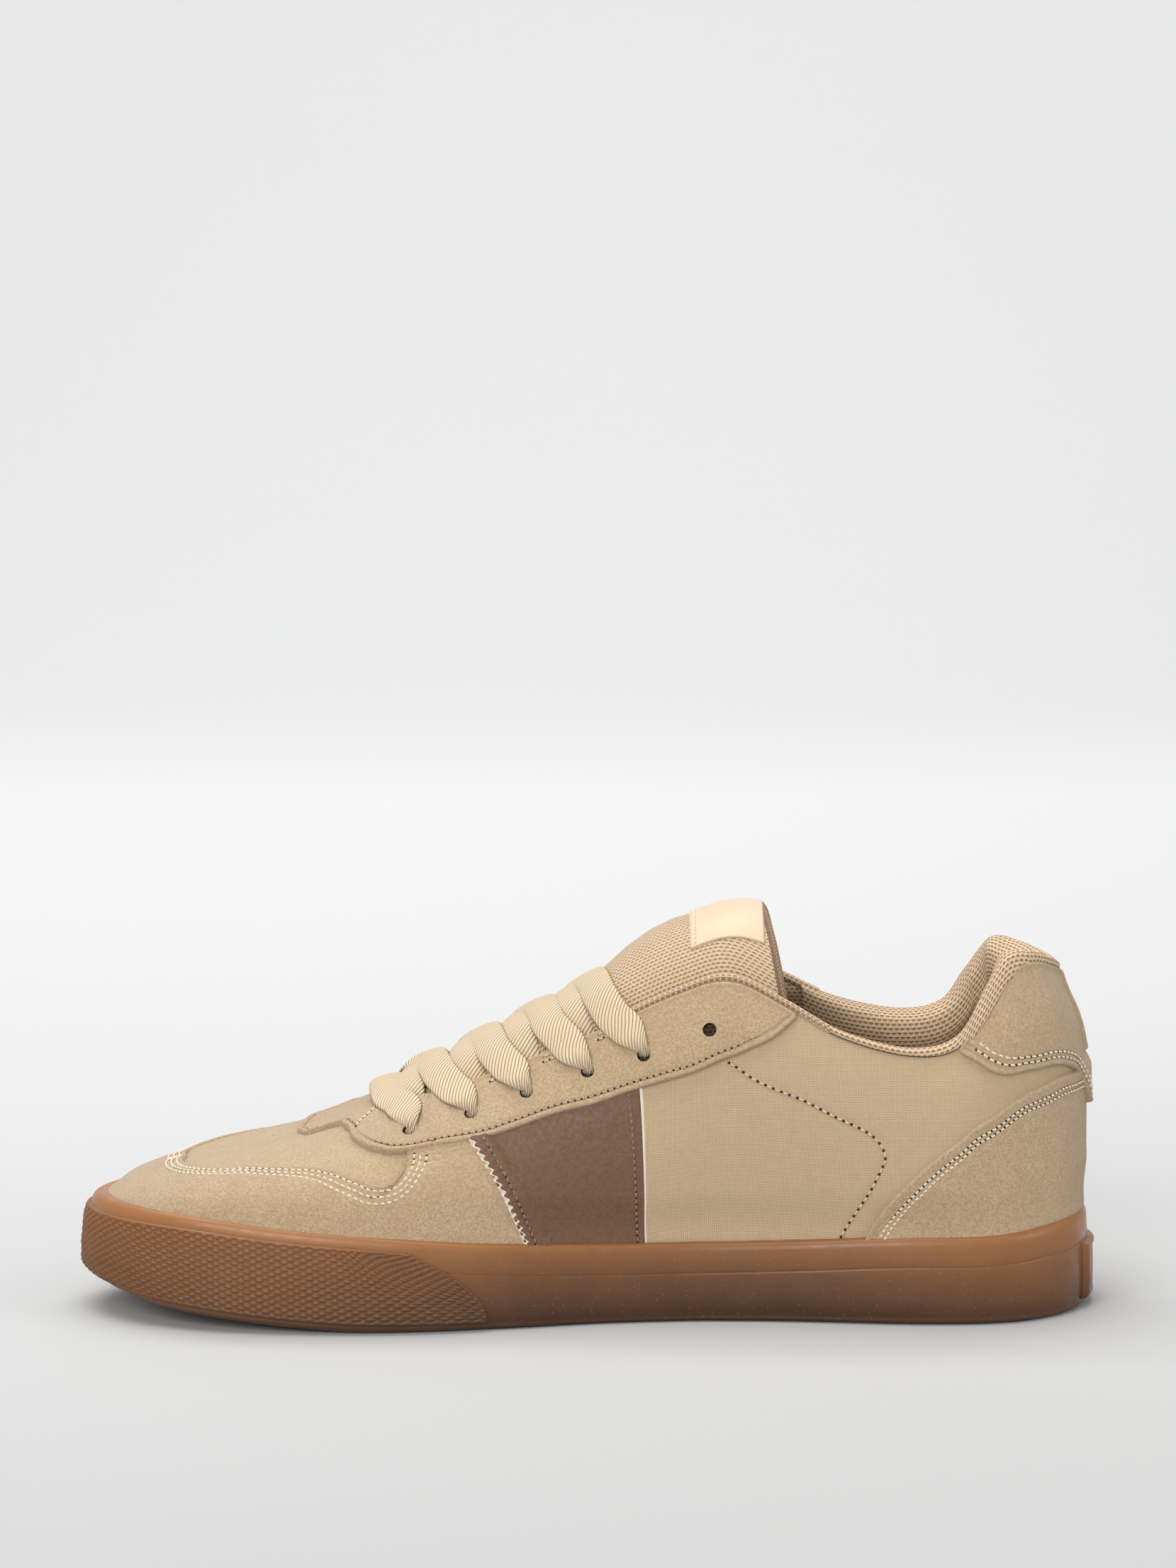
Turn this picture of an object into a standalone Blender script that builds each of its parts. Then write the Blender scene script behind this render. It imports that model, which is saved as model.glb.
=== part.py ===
"""Skateboarding shoe for the right foot.

A cup sole carries a cloth upper with leather panels, a padded tongue and collar, and flat laces.
Toe towards -X, inner side of the foot towards -Y, standing on z = 0. Sizes are in millimetres
and become metres when a mesh is made.
"""
import math

import bmesh
import bpy
import numpy as np
from mathutils import Matrix, Vector

# Overall sizes
LENGTH = 298.6
BALL_WIDTH = 107.0
COLLAR_HEIGHT = 105.0
FOXING_HEIGHT = 30.0
TOE_SPRING = 8.2

# Sole
FLOOR_AT_HEEL = 14.0
FLOOR_AT_BALL = 10.0
FOXING_WALL = 2.7
TOE_WALL = 6.0
BAND_STEP = 0.5
BUMPER_THICKNESS = 1.0
PLATE_THICKNESS = 1.6
INSOLE_THICKNESS = 4.0

# Upper and what lies on it
UPPER_WALL = 1.8
PANEL_THICKNESS = 1.3
EYELET_HOLE = 4.0
PAD_THICKNESS = 8.0
PAD_RISE = 4.0
TONGUE_RISE = 26.0
TONGUE_THICKNESS = 6.0
LABEL_THICKNESS = 0.8
LACE_WIDTH = 9.0
LACE_THICKNESS = 1.2
CLEARANCE = 0.3
PANEL_GAP = 0.6

COLUMNS = 80
HALF = BALL_WIDTH / 2

# One row for each pair of columns round the shoe, from toe to heel. Places along are shares of
# LENGTH from the heel, sides are shares of half BALL_WIDTH, heights are shares of COLLAR_HEIGHT.
# sole place, inner side, outer side, edge place, inner side, outer side, inner height, outer height
RING = [
    (1.000, -0.149, -0.149, 0.703, -0.056, -0.056, 0.571, 0.571),
    (0.991, -0.381, 0.056, 0.703, -0.125, 0.013, 0.573, 0.571),
    (0.969, -0.588, 0.238, 0.701, -0.190, 0.079, 0.574, 0.573),
    (0.930, -0.774, 0.480, 0.697, -0.250, 0.139, 0.576, 0.574),
    (0.873, -0.915, 0.703, 0.690, -0.310, 0.205, 0.578, 0.574),
    (0.803, -0.986, 0.878, 0.678, -0.358, 0.250, 0.584, 0.577),
    (0.730, -1.000, 0.975, 0.657, -0.388, 0.272, 0.605, 0.590),
    (0.657, -0.971, 1.000, 0.617, -0.415, 0.295, 0.645, 0.630),
    (0.577, -0.878, 0.967, 0.560, -0.450, 0.325, 0.714, 0.698),
    (0.493, -0.763, 0.884, 0.490, -0.490, 0.355, 0.803, 0.787),
    (0.410, -0.701, 0.791, 0.413, -0.540, 0.398, 0.908, 0.893),
    (0.353, -0.698, 0.740, 0.363, -0.580, 0.436, 0.947, 0.932),
    (0.300, -0.714, 0.705, 0.310, -0.636, 0.484, 0.880, 0.876),
    (0.247, -0.748, 0.685, 0.257, -0.687, 0.534, 0.798, 0.803),
    (0.190, -0.780, 0.662, 0.193, -0.700, 0.543, 0.749, 0.762),
    (0.140, -0.781, 0.636, 0.147, -0.685, 0.528, 0.764, 0.777),
    (0.103, -0.755, 0.603, 0.118, -0.647, 0.491, 0.871, 0.874),
    (0.070, -0.688, 0.536, 0.095, -0.580, 0.426, 0.979, 0.971),
    (0.037, -0.543, 0.385, 0.072, -0.473, 0.316, 1.000, 0.994),
    (0.015, -0.346, 0.190, 0.052, -0.298, 0.140, 0.985, 0.983),
    (0.006, -0.079, -0.079, 0.043, -0.079, -0.079, 0.974, 0.974),
]

# Foxing height from heel to toe, in even steps, as shares of FOXING_HEIGHT
FOXING_TOP = [0.98, 0.877, 0.862, 0.807, 0.78, 0.79, 0.845, 0.935, 1.025, 1.12, 1.13]

# How a column climbs from the sole to the edge: share of the way in, share of the way up, and
# swell outwards as a share of BALL_WIDTH. The key is the ring row.
LEVELS = {
    0: ([0, 0.01, 0.04, 0.10, 0.22, 0.375, 0.563, 0.757, 1],
        [0, 0.32, 0.385, 0.47, 0.555, 0.63, 0.70, 0.812, 1], [0] * 9),
    4: ([0, 0, 0.03, 0.11, 0.23, 0.38, 0.56, 0.77, 1],
        [0, 0.33, 0.48, 0.575, 0.645, 0.71, 0.78, 0.87, 1], [0] * 9),
    6: ([0, 0, 0.03, 0.12, 0.25, 0.41, 0.58, 0.78, 1],
        [0, 0.31, 0.49, 0.60, 0.68, 0.76, 0.83, 0.91, 1], [0] * 9),
    10: ([0, 0.15, 0.3, 0.45, 0.6, 0.72, 0.83, 0.92, 1],
         [0, 0.15, 0.3, 0.45, 0.6, 0.72, 0.83, 0.92, 1],
         [0, 0.014, 0.037, 0.056, 0.065, 0.065, 0.051, 0.028, 0]),
    14: ([0, 0.15, 0.3, 0.45, 0.6, 0.72, 0.83, 0.92, 1],
         [0, 0.15, 0.3, 0.45, 0.6, 0.72, 0.83, 0.92, 1],
         [0, 0.007, 0.015, 0.021, 0.024, 0.024, 0.02, 0.011, 0]),
    17: ([0, 0.15, 0.3, 0.45, 0.6, 0.72, 0.83, 0.92, 1],
         [0, 0.15, 0.3, 0.45, 0.6, 0.72, 0.83, 0.92, 1],
         [0, 0.009, 0.019, 0.028, 0.035, 0.039, 0.035, 0.02, 0]),
    20: ([0, 0.15, 0.3, 0.45, 0.6, 0.72, 0.83, 0.92, 1],
         [0, 0.15, 0.3, 0.45, 0.6, 0.72, 0.83, 0.92, 1],
         [0, 0.02, 0.031, 0.042, 0.052, 0.055, 0.043, 0.018, 0]),
}

# Sole wall from the tread up: inset on the sides and at the toe, as shares of FOXING_HEIGHT, then
# the share of the height. The band step lies between the fifth and sixth rows.
SOLE_WALL = [
    (0.100, 0.230, 0.00),
    (0.030, 0.130, 0.05),
    (0.000, 0.040, 0.18),
    (0.000, 0.000, 0.40),
    (0.008, 0.025, 0.72),
    (0.008, 0.028, 0.74),
    (0.020, 0.075, 0.93),
    (0.045, 0.115, 1.00),
]

# Seams on the upper's inner side as (ring place, share up the column)
EYESTAY_SEAM = [(0, 0.83), (1.4, 0.83), (2.6, 0.82), (3.4, 0.87), (4.2, 0.845), (5.2, 0.70), (5.9, 0.56),
                (6.5, 0.52), (7.3, 0.54), (8.4, 0.60), (9.7, 0.622), (10.4, 0.63), (11.1, 0.67),
                (11.7, 0.79), (12.2, 0.93)]
TOE_CAP_SEAM = [(0, 0.50), (1.3, 0.50), (2.6, 0.50), (4.0, 0.54), (5.0, 0.50), (5.6, 0.455),
                (6.1, 0.375), (6.4, 0.365), (6.62, 0.43), (6.70, 0.50)]
COUNTER_SEAM = [(13.35, 0.18), (13.92, 0.351), (14.52, 0.462), (15.26, 0.530), (16.34, 0.49),
                (17.49, 0.479), (18.71, 0.528), (20.0, 0.54)]
COLLAR_SEAM = [(15.12, 0.94), (15.39, 0.863), (15.85, 0.718), (16.5, 0.612), (17.18, 0.569),
               (17.88, 0.568), (18.42, 0.575), (20.0, 0.565)]
SADDLE_FRONT = [(7.42, 0.52), (8.25, 0.12)]
SADDLE_REAR = [(9.30, 0.62), (9.95, 0.12)]
EYELETS = [(6.45, 0.68), (7.31, 0.73), (8.05, 0.77), (8.82, 0.785), (9.51, 0.77), (10.53, 0.785)]

# Height of the tongue's ridge above the upper's edge, by ring row, as shares of TONGUE_RISE
TONGUE_RIDGE = [(5, 0.13), (6, 0.24), (7, 0.32), (8, 0.42), (9, 0.46), (10, 0.62), (11, 0.76), (12.2, 1.0)]


def clear_scene():
    """Empty the file of its objects and set up the two collections"""
    for item in list(bpy.data.objects):
        bpy.data.objects.remove(item, do_unlink=True)
    parts = bpy.data.collections.new("skateboarding_shoe")
    cutters = bpy.data.collections.new("cutters")
    for group in (parts, cutters):
        bpy.context.scene.collection.children.link(group)
    return parts, cutters


PARTS, CUTTERS = clear_scene()


def ring_rows():
    """The ring as one closed table: sole place, sole side, edge place, edge side, edge height"""
    inner = [(LENGTH * a, HALF * b, LENGTH * d, HALF * e, COLLAR_HEIGHT * g) for a, b, c, d, e, f, g, h in RING]
    outer = [(LENGTH * a, HALF * c, LENGTH * d, HALF * f, COLLAR_HEIGHT * h) for a, b, c, d, e, f, g, h in RING]
    return np.array(inner + outer[-2:0:-1])


TABLE = ring_rows()
TURN = len(TABLE)
HEEL = TURN // 2


def spline(before, start, end, after, t):
    """One span of a smooth curve through four values"""
    return 0.5 * (2 * start + (end - before) * t + (2 * before - 5 * start + 4 * end - after) * t * t
                  + (3 * start - before - 3 * end + after) * t ** 3)


def ring_at(place):
    """The ring's row at any place, counted in rows from the toe"""
    first = math.floor(place)
    return spline(*(TABLE[(first + k) % TURN] for k in (-1, 0, 1, 2)), place - first)


def along(values, share):
    """A smooth value along an open list with even steps"""
    values = np.asarray(values, float)
    last = len(values) - 1
    place = min(max(share, 0), 1) * last
    first = min(int(place), last - 1)
    start, end = values[first], values[first + 1]
    before = values[first - 1] if first else 2 * start - end
    after = values[first + 2] if first + 2 <= last else 2 * end - start
    return spline(before, start, end, after, place - first)


def ease(share):
    """0 to 1 with soft ends"""
    share = min(max(share, 0), 1)
    return share * share * (3 - 2 * share)


def tread_height(s):
    return TOE_SPRING * max(0, (s / LENGTH - 0.72) / 0.28) ** 1.25


def floor_height(s):
    """Top of the cup's floor"""
    return 0.9 * tread_height(s) + FLOOR_AT_HEEL + (FLOOR_AT_BALL - FLOOR_AT_HEEL) * ease((s / LENGTH - 0.35) / 0.25)


def foxing_height(s):
    return FOXING_HEIGHT * float(along(FOXING_TOP, s / LENGTH))


def toe_share(s):
    return ease((s / LENGTH - 0.9) / 0.1)


def wall_inset(s):
    """How far the cup's inner wall lies inside the sole's outline"""
    return FOXING_WALL + (TOE_WALL - FOXING_WALL) * toe_share(s)


def outward(place):
    """Level direction out of the sole at a ring place"""
    run = ring_at(place + 0.02) - ring_at(place - 0.02)
    return np.array((-run[1], run[0])) / math.hypot(run[0], run[1])


def outline(place, inset):
    """A point on the sole's outline, moved inwards"""
    row = ring_at(place)
    return row[:2] - outward(place) * inset


def column_shape(place):
    """Lean, rise and swell at the nine levels of a column"""
    row = place % TURN
    row = min(row, TURN - row)
    keys = sorted(LEVELS)
    for a, b in zip(keys, keys[1:]):
        if row <= b:
            t = (row - a) / (b - a)
            t = 0.5 * t + 0.5 * ease(t)
            return [(1 - t) * np.array(p) + t * np.array(q) for p, q in zip(LEVELS[a], LEVELS[b])]


def upper_skin(place, up):
    """A point on the upper's outside: ring place and share up the column"""
    row = ring_at(place)
    foot = outline(place, wall_inset(row[0]) + CLEARANCE)
    lean, rise, swell = (float(along(values, up)) for values in column_shape(place))
    base = floor_height(row[0]) + CLEARANCE
    height = base + (row[4] - base) * rise
    swell *= BALL_WIDTH * ease((height - foxing_height(row[0])) / (0.5 * FOXING_HEIGHT))
    level = foot + (row[2:4] - foot) * lean + outward(place) * swell
    return np.array((level[0], level[1], height))


def upper_normal(place, up):
    """Direction out of the upper"""
    step = 0.01
    run = upper_skin(place + step, up) - upper_skin(place - step, up)
    climb = upper_skin(place, min(up + step, 1)) - upper_skin(place, max(up - step, 0))
    normal = np.cross(climb, run)
    return normal / np.linalg.norm(normal)


def upper_at(place, up, out=0.0):
    """A point a set distance out of the upper"""
    return upper_skin(place, up) + upper_normal(place, up) * out


def column_length(place):
    points = [upper_skin(place, k / 8) for k in range(9)]
    return sum(np.linalg.norm(b - a) for a, b in zip(points, points[1:]))


def up_at_foxing(place):
    """Share up the column just clear of the foxing's top"""
    low, high = 0.0, 0.6
    target = foxing_height(ring_at(place)[0]) + PANEL_GAP + 2 * CLEARANCE
    for _ in range(20):
        middle = (low + high) / 2
        low, high = (middle, high) if upper_skin(place, middle)[2] < target else (low, middle)
    return high


def seam_up(seam, place):
    """Share up the column of a seam that is the same on both sides"""
    row = place % TURN
    row = min(row, TURN - row)
    return float(np.interp(row, [p for p, _ in seam], [u for _, u in seam]))


def material(name, colour, roughness):
    """A plain surface with the part's colour"""
    surface = bpy.data.materials.new(name)
    surface.use_nodes = True
    shader = surface.node_tree.nodes["Principled BSDF"]
    shader.inputs["Base Color"].default_value = (*colour, 1)
    shader.inputs["Roughness"].default_value = roughness
    surface.diffuse_color = (*colour, 1)
    return surface


GUM = material("gum rubber", (0.30, 0.12, 0.05), 0.4)
CANVAS = material("canvas", (0.50, 0.40, 0.22), 0.9)
SUEDE = material("suede", (0.60, 0.44, 0.25), 0.85)
SMOOTH = material("smooth leather", (0.19, 0.11, 0.07), 0.5)
MESH = material("mesh fabric", (0.55, 0.36, 0.20), 0.9)
SATIN = material("satin ribbon", (0.80, 0.66, 0.43), 0.6)
CORD = material("lace", (0.72, 0.52, 0.30), 0.85)
FOAM = material("insole", (0.45, 0.32, 0.20), 0.9)


def place_point(point):
    """Millimetres from the heel to metres about the middle"""
    return ((LENGTH / 2 - point[0]) * 0.001, point[1] * 0.001, point[2] * 0.001)


def add_solid(name, points, faces, surface, group=PARTS):
    """A closed solid with its faces turned outwards"""
    mesh = bpy.data.meshes.new(name)
    mesh.from_pydata([place_point(p) for p in points], [], faces)
    work = bmesh.new()
    work.from_mesh(mesh)
    bmesh.ops.recalc_face_normals(work, faces=work.faces)
    if work.calc_volume(signed=True) < 0:
        bmesh.ops.reverse_faces(work, faces=work.faces)
    work.to_mesh(mesh)
    work.free()
    item = bpy.data.objects.new(name, mesh)
    if surface:
        mesh.materials.append(surface)
    group.objects.link(item)
    return item


def loops_to_faces(loops, size, closed):
    """Quads between loops of points that follow each other"""
    faces = []
    for k in range(loops - 1 + closed):
        for i in range(size):
            a, b = k * size + i, k * size + (i + 1) % size
            c, d = (a + size) % (loops * size), (b + size) % (loops * size)
            faces.append((a, b, d, c))
    return faces


def ladder(first, size):
    """Rungs from the inner to the outer side close a loop round the sole"""
    half = size // 2
    faces = [(first, first + 1, first + size - 1)]
    for i in range(1, half - 1):
        faces.append((first + i, first + i + 1, first + size - i - 1, first + size - i))
    faces.append((first + half - 1, first + half, first + half + 1))
    return faces


def add_sole():
    """The cup sole: tread, outer wall with its band step, inner wall and floor"""
    places = [TURN * i / COLUMNS for i in range(COLUMNS)]
    points = []
    for row, (side, toe, share) in enumerate(SOLE_WALL):
        for place in places:
            s = ring_at(place)[0]
            inset = FOXING_HEIGHT * (side + (toe - side) * toe_share(s)) + (BAND_STEP if row >= 5 else 0)
            x, y = outline(place, inset)
            points.append((x, y, tread_height(s) + share * (foxing_height(s) - tread_height(s))))
    for height in (foxing_height, floor_height):
        for place in places:
            s = ring_at(place)[0]
            x, y = outline(place, wall_inset(s))
            points.append((x, y, height(s)))
    rows = len(points) // COLUMNS
    faces = loops_to_faces(rows, COLUMNS, 0)
    faces += ladder(0, COLUMNS) + ladder((rows - 1) * COLUMNS, COLUMNS)
    return add_solid("sole", points, faces, GUM)


def add_insole():
    """The footbed on the cup's floor, inside the upper"""
    places = [TURN * i / COLUMNS for i in range(COLUMNS)]
    points = []
    for rise, inset in ((CLEARANCE, 0.6), (1.2, 0), (INSOLE_THICKNESS, 0), (INSOLE_THICKNESS + CLEARANCE, 1.2)):
        for place in places:
            s = ring_at(place)[0]
            x, y = outline(place, wall_inset(s) + 2 * CLEARANCE + UPPER_WALL + 0.8 + inset)
            points.append((x, y, floor_height(s) + rise))
    faces = loops_to_faces(4, COLUMNS, 0) + ladder(0, COLUMNS) + ladder(3 * COLUMNS, COLUMNS)
    return add_solid("insole", points, faces, FOAM)


def add_upper():
    """The cloth upper: one wall, open at the throat and collar and under the foot"""
    ups = (0, 0.125, 0.24, 0.37, 0.51, 0.65, 0.78, 0.90, 1)
    places = [TURN * i / COLUMNS for i in range(COLUMNS)]
    points = [upper_skin(place, up) for up in ups for place in places]
    inside = [upper_at(place, up, -UPPER_WALL) for up in reversed(ups) for place in places]
    for point, foot in zip(inside[-COLUMNS:], points[:COLUMNS]):
        point[2] = foot[2]
    points += inside
    return add_solid("upper", points, loops_to_faces(2 * len(ups), COLUMNS, 1), CANVAS)


def add_panel(name, rails, across, surface, skin, gap, thickness):
    """A panel over rails of (place, up) points, set a gap off a skin"""
    points, rails = [], finer(rails)
    across *= len(rails[0]) - 1
    size = 2 * (across + 1)
    for rail in rails:
        shares = np.linspace(0, len(rail) - 1, across + 1)
        steps = [[np.interp(k, range(len(rail)), rail[:, axis]) for axis in (0, 1)] for k in shares]
        points += [skin(*step, gap + thickness) for step in steps]
        points += [skin(*step, gap) for step in reversed(steps)]
    faces = loops_to_faces(len(rails), size, 0)
    for first in (0, (len(rails) - 1) * size):
        faces += [(first + k, first + k + 1, first + size - k - 2, first + size - k - 1) for k in range(across)]
    return add_solid(name, points, faces, surface)


def both_sides(rails):
    """Rails from the inner side's end round to the same end on the outer side"""
    middle = rails[-1][0][0]
    rest = [tuple((2 * middle - place, up) for place, up in pair) for pair in rails[::-1]]
    return rails + rest[1:]


def finer(rails):
    """Rails no more than a column of the upper apart"""
    result = [np.array(rails[0])]
    for rail in rails[1:]:
        start, end = result[-1], np.array(rail)
        count = max(1, math.ceil(abs(end - start)[:, 0].max() * COLUMNS / TURN - 0.1))
        result += [start + (end - start) * k / count for k in range(1, count + 1)]
    return result


def add_toe_cap():
    """The mudguard: round the toe and back to the side panels"""
    rails = []
    for share in np.linspace(0, 1, 5):
        front, low_end = SADDLE_FRONT
        gap = CLEARANCE / column_length(7.4)
        place_high = front[0] - 0.02 + (TOE_CAP_SEAM[-1][0] - front[0] + 0.02) * share
        place_low = low_end[0] - 0.02 + (7.2 - low_end[0] + 0.02) * share
        up_high = seam_up(EYESTAY_SEAM, place_high) - gap if share < 0.95 else TOE_CAP_SEAM[-1][1]
        rails.append(((place_low, up_at_foxing(place_low)), (place_high, up_high)))
    for place, up in TOE_CAP_SEAM[-2::-1]:
        low = place * 1.06 if place > 4 else place
        rails.append(((low, up_at_foxing(low)), (place, up)))
    return add_panel("toe_cap", both_sides(rails), 5, SUEDE, upper_at, PANEL_GAP, PANEL_THICKNESS)


def add_eyestay():
    """The lace panel: one strip round the throat with the eyelet holes"""
    rails = [((place, up), (place, 0.985)) for place, up in EYESTAY_SEAM[::-1]]
    return add_panel("eyestay", both_sides(rails), 3, SUEDE, upper_at, PANEL_GAP, PANEL_THICKNESS)


def add_saddle(name, outer):
    """The side panel between the sole and the lace panel"""
    rails = []
    for share in np.linspace(0, 1, 5):
        low = SADDLE_FRONT[1][0] + (SADDLE_REAR[1][0] - SADDLE_FRONT[1][0]) * share
        high = SADDLE_FRONT[0][0] + (SADDLE_REAR[0][0] - SADDLE_FRONT[0][0]) * share
        top = seam_up(EYESTAY_SEAM, high) - CLEARANCE / column_length(high)
        ends = ((low, up_at_foxing(low)), (high, top))
        if outer:
            ends = tuple((TURN - place, up) for place, up in ends)
        rails.append(ends)
    return add_panel(name, rails, 5, SMOOTH, upper_at, PANEL_GAP, PANEL_THICKNESS)


def add_counter():
    """The heel panel above the foxing"""
    rails = [((place, up_at_foxing(place)), (place, up)) for place, up in COUNTER_SEAM]
    return add_panel("heel_counter", both_sides(rails), 4, SUEDE, upper_at, PANEL_GAP, PANEL_THICKNESS)


def add_collar_panel():
    """The panel round the top of the heel"""
    rails = [((place, up), (place, 0.985)) for place, up in COLLAR_SEAM]
    return add_panel("collar_panel", both_sides(rails), 3, SUEDE, upper_at, PANEL_GAP, PANEL_THICKNESS)


def add_heel_tab():
    """The narrow strip down the back, over the two heel panels"""
    rails = [((HEEL + side, 0.62), (HEEL + side, 0.97)) for side in (-0.42, -0.2, 0, 0.2, 0.42)]
    gap = PANEL_GAP + PANEL_THICKNESS + CLEARANCE
    return add_panel("heel_tab", rails, 5, SUEDE, upper_at, gap, PANEL_THICKNESS)


def cut_eyelets(items):
    """Six round holes a side through the lace panel and the upper"""
    cutter = bmesh.new()
    for place, up in EYELETS + [(TURN - place, up) for place, up in EYELETS]:
        centre = Vector(place_point(upper_skin(place, up)))
        tip = Vector(place_point(upper_at(place, up, 10)))
        turn = (tip - centre).to_track_quat("Z", "Y").to_matrix().to_4x4()
        bmesh.ops.create_cone(cutter, cap_ends=True, segments=10, radius1=EYELET_HOLE / 2000,
                              radius2=EYELET_HOLE / 2000, depth=0.010,
                              matrix=Matrix.Translation(centre) @ turn)
    mesh = bpy.data.meshes.new("eyelet_holes")
    cutter.to_mesh(mesh)
    cutter.free()
    holes = bpy.data.objects.new("eyelet_holes", mesh)
    CUTTERS.objects.link(holes)
    holes.hide_render = True
    holes.display_type = "WIRE"
    for item in items:
        cut = item.modifiers.new("eyelets", "BOOLEAN")
        cut.operation, cut.solver, cut.object = "DIFFERENCE", "EXACT", holes


def sole_skin(place, share, out):
    """A point off the sole's outer wall: ring place and share of its height"""
    s = ring_at(place)[0]
    heights = [row[2] for row in SOLE_WALL]
    side = np.interp(share, heights, [row[0] for row in SOLE_WALL])
    toe = np.interp(share, heights, [row[1] for row in SOLE_WALL])
    x, y = outline(place, FOXING_HEIGHT * (side + (toe - side) * toe_share(s)) - out)
    return np.array((x, y, tread_height(s) + share * (foxing_height(s) - tread_height(s))))


def add_bumper():
    """The patterned strip round the toe of the foxing"""
    shares = (0.12, 0.18, 0.40, 0.62, 0.86)
    slant = (0.0, 0.05, 0.2, 0.4, 0.75)
    rails = [[(place - k * ease((place - 6) / 2), share) for k, share in zip(slant, shares)]
             for place in np.linspace(8, 0, 17)]
    return add_panel("toe_bumper", both_sides(rails), 1, GUM, sole_skin, CLEARANCE, BUMPER_THICKNESS)


def add_heel_plate():
    """The raised plate on the back of the foxing"""
    rails = [[(HEEL + side, share) for share in (0.11, 0.18, 0.40, 0.66)] for side in np.linspace(-1, 1, 9)]
    return add_panel("heel_plate", rails, 1, GUM, sole_skin, CLEARANCE, PLATE_THICKNESS)


def tongue_skin(place, across):
    """A point on the tongue's top: ring place of the inner edge, and -1 to 1 across"""
    inner = lambda up, o: upper_at(place, up, o)
    outer = lambda up, o: upper_at(TURN - place, up, o)
    sink = -(UPPER_WALL + 0.8)
    edges = (inner(1, sink), outer(1, sink))
    middle = (edges[0] + edges[1]) / 2
    rise = TONGUE_RISE * float(np.interp(place, [p for p, _ in TONGUE_RIDGE], [h for _, h in TONGUE_RIDGE]))
    ridge = middle + np.array((0, 0, rise + 0.02 * COLLAR_HEIGHT))
    edge, skin = (edges[0], inner) if across < 0 else (edges[1], outer)
    w = abs(across)
    if w > 0.75:
        return skin(1 - 0.12 * (w - 0.75) / 0.25, sink)
    turn = (1 - w / 0.75) * math.pi / 2
    return ridge + (edge - ridge) * np.array((1 - math.sin(turn), math.cos(turn), 1 - math.sin(turn)))


def tongue_normal(place, across):
    """Direction out of the tongue's top"""
    run = tongue_skin(place + 0.1, across) - tongue_skin(place - 0.1, across)
    over = tongue_skin(place, across + 0.02) - tongue_skin(place, across - 0.02)
    normal = np.cross(over, run)
    return normal / np.linalg.norm(normal)


def tongue_at(place, across, out=0.0):
    """A point a set distance off the tongue's top"""
    return tongue_skin(place, across) + tongue_normal(place, across) * out


def tongue_under(place, across, depth):
    """A point on the tongue's back, towards the foot"""
    point = tongue_skin(place, across)
    low = upper_skin(place, 1)
    centre = np.array((point[0], (low[1] + upper_skin(TURN - place, 1)[1]) / 2, low[2] - 12))
    return point - (point - centre) / np.linalg.norm(point - centre) * depth


def tongue_front(across, up, out=0.0):
    """A point under the vamp, just in front of the throat"""
    place = 5 * across if across >= 0 else TURN + 5 * across
    return upper_at(-place, up, -(UPPER_WALL + 0.8) + out)


def add_tongue():
    """The padded tongue, from under the vamp to above the collar"""
    across = np.linspace(-1, 1, 15)
    points = []
    for up in (0.93, 0.99):
        top = [tongue_front(w, up) for w in across]
        points += top + [p - np.array((0, 0, 0.5 * TONGUE_THICKNESS)) for p in reversed(top)]
    for place in (5.2, 6, 7, 8, 9, 10, 11, 11.7, 12.2):
        thickness = TONGUE_THICKNESS * (0.5 if place < 6 else 0.75 if place < 7 else 1)
        points += [tongue_skin(place, w) for w in across]
        points += [tongue_under(place, w, thickness) for w in reversed(across)]
    size = 2 * len(across)
    rows = len(points) // size
    faces = loops_to_faces(rows, size, 0)
    for first in (0, (rows - 1) * size):
        faces += [(first + k, first + k + 1, first + size - k - 2, first + size - k - 1) for k in range(len(across) - 1)]
    return add_solid("tongue", points, faces, MESH)


def add_label():
    """The ribbon on the tongue's ridge"""
    rails = [((10.9 + step, -0.3), (10.9 + step, 0.3)) for step in (0, 0.35, 0.7, 1.05)]
    return add_panel("tongue_label", rails, 5, SATIN, tongue_at, CLEARANCE, LABEL_THICKNESS)


def add_collar_pad():
    """The padded roll inside the collar"""
    first, last = 12.5, TURN - 12.5
    points = []
    columns = np.linspace(first, last, 31)
    for place in columns:
        edge, normal = upper_skin(place, 1), upper_normal(place, 1)
        climb = upper_skin(place, 1) - upper_skin(place, 0.97)
        climb /= np.linalg.norm(climb)
        near = UPPER_WALL + 2 * CLEARANCE
        far = near + PAD_THICKNESS
        length = column_length(place)
        points += [upper_at(place, 1 - 24 / length, -near), upper_at(place, 1 - 12 / length, -near),
                   upper_at(place, 1, -near), edge + climb * 0.6 * PAD_RISE - normal * near,
                   edge + climb * PAD_RISE - normal * (near + 0.25 * PAD_THICKNESS),
                   edge + climb * PAD_RISE - normal * (near + 0.6 * PAD_THICKNESS),
                   edge + climb * 0.4 * PAD_RISE - normal * (near + 0.92 * PAD_THICKNESS),
                   upper_at(place, 1 - 8 / length, -far), upper_at(place, 1 - 18 / length, -(near + 0.75 * PAD_THICKNESS)),
                   upper_at(place, 1 - 26 / length, -(near + 0.3 * PAD_THICKNESS))]
    count = len(columns)
    faces = loops_to_faces(count, 10, 0) + [tuple(range(10)), tuple(10 * (count - 1) + k for k in range(10))]
    return add_solid("collar_pad", points, faces, MESH)


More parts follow.
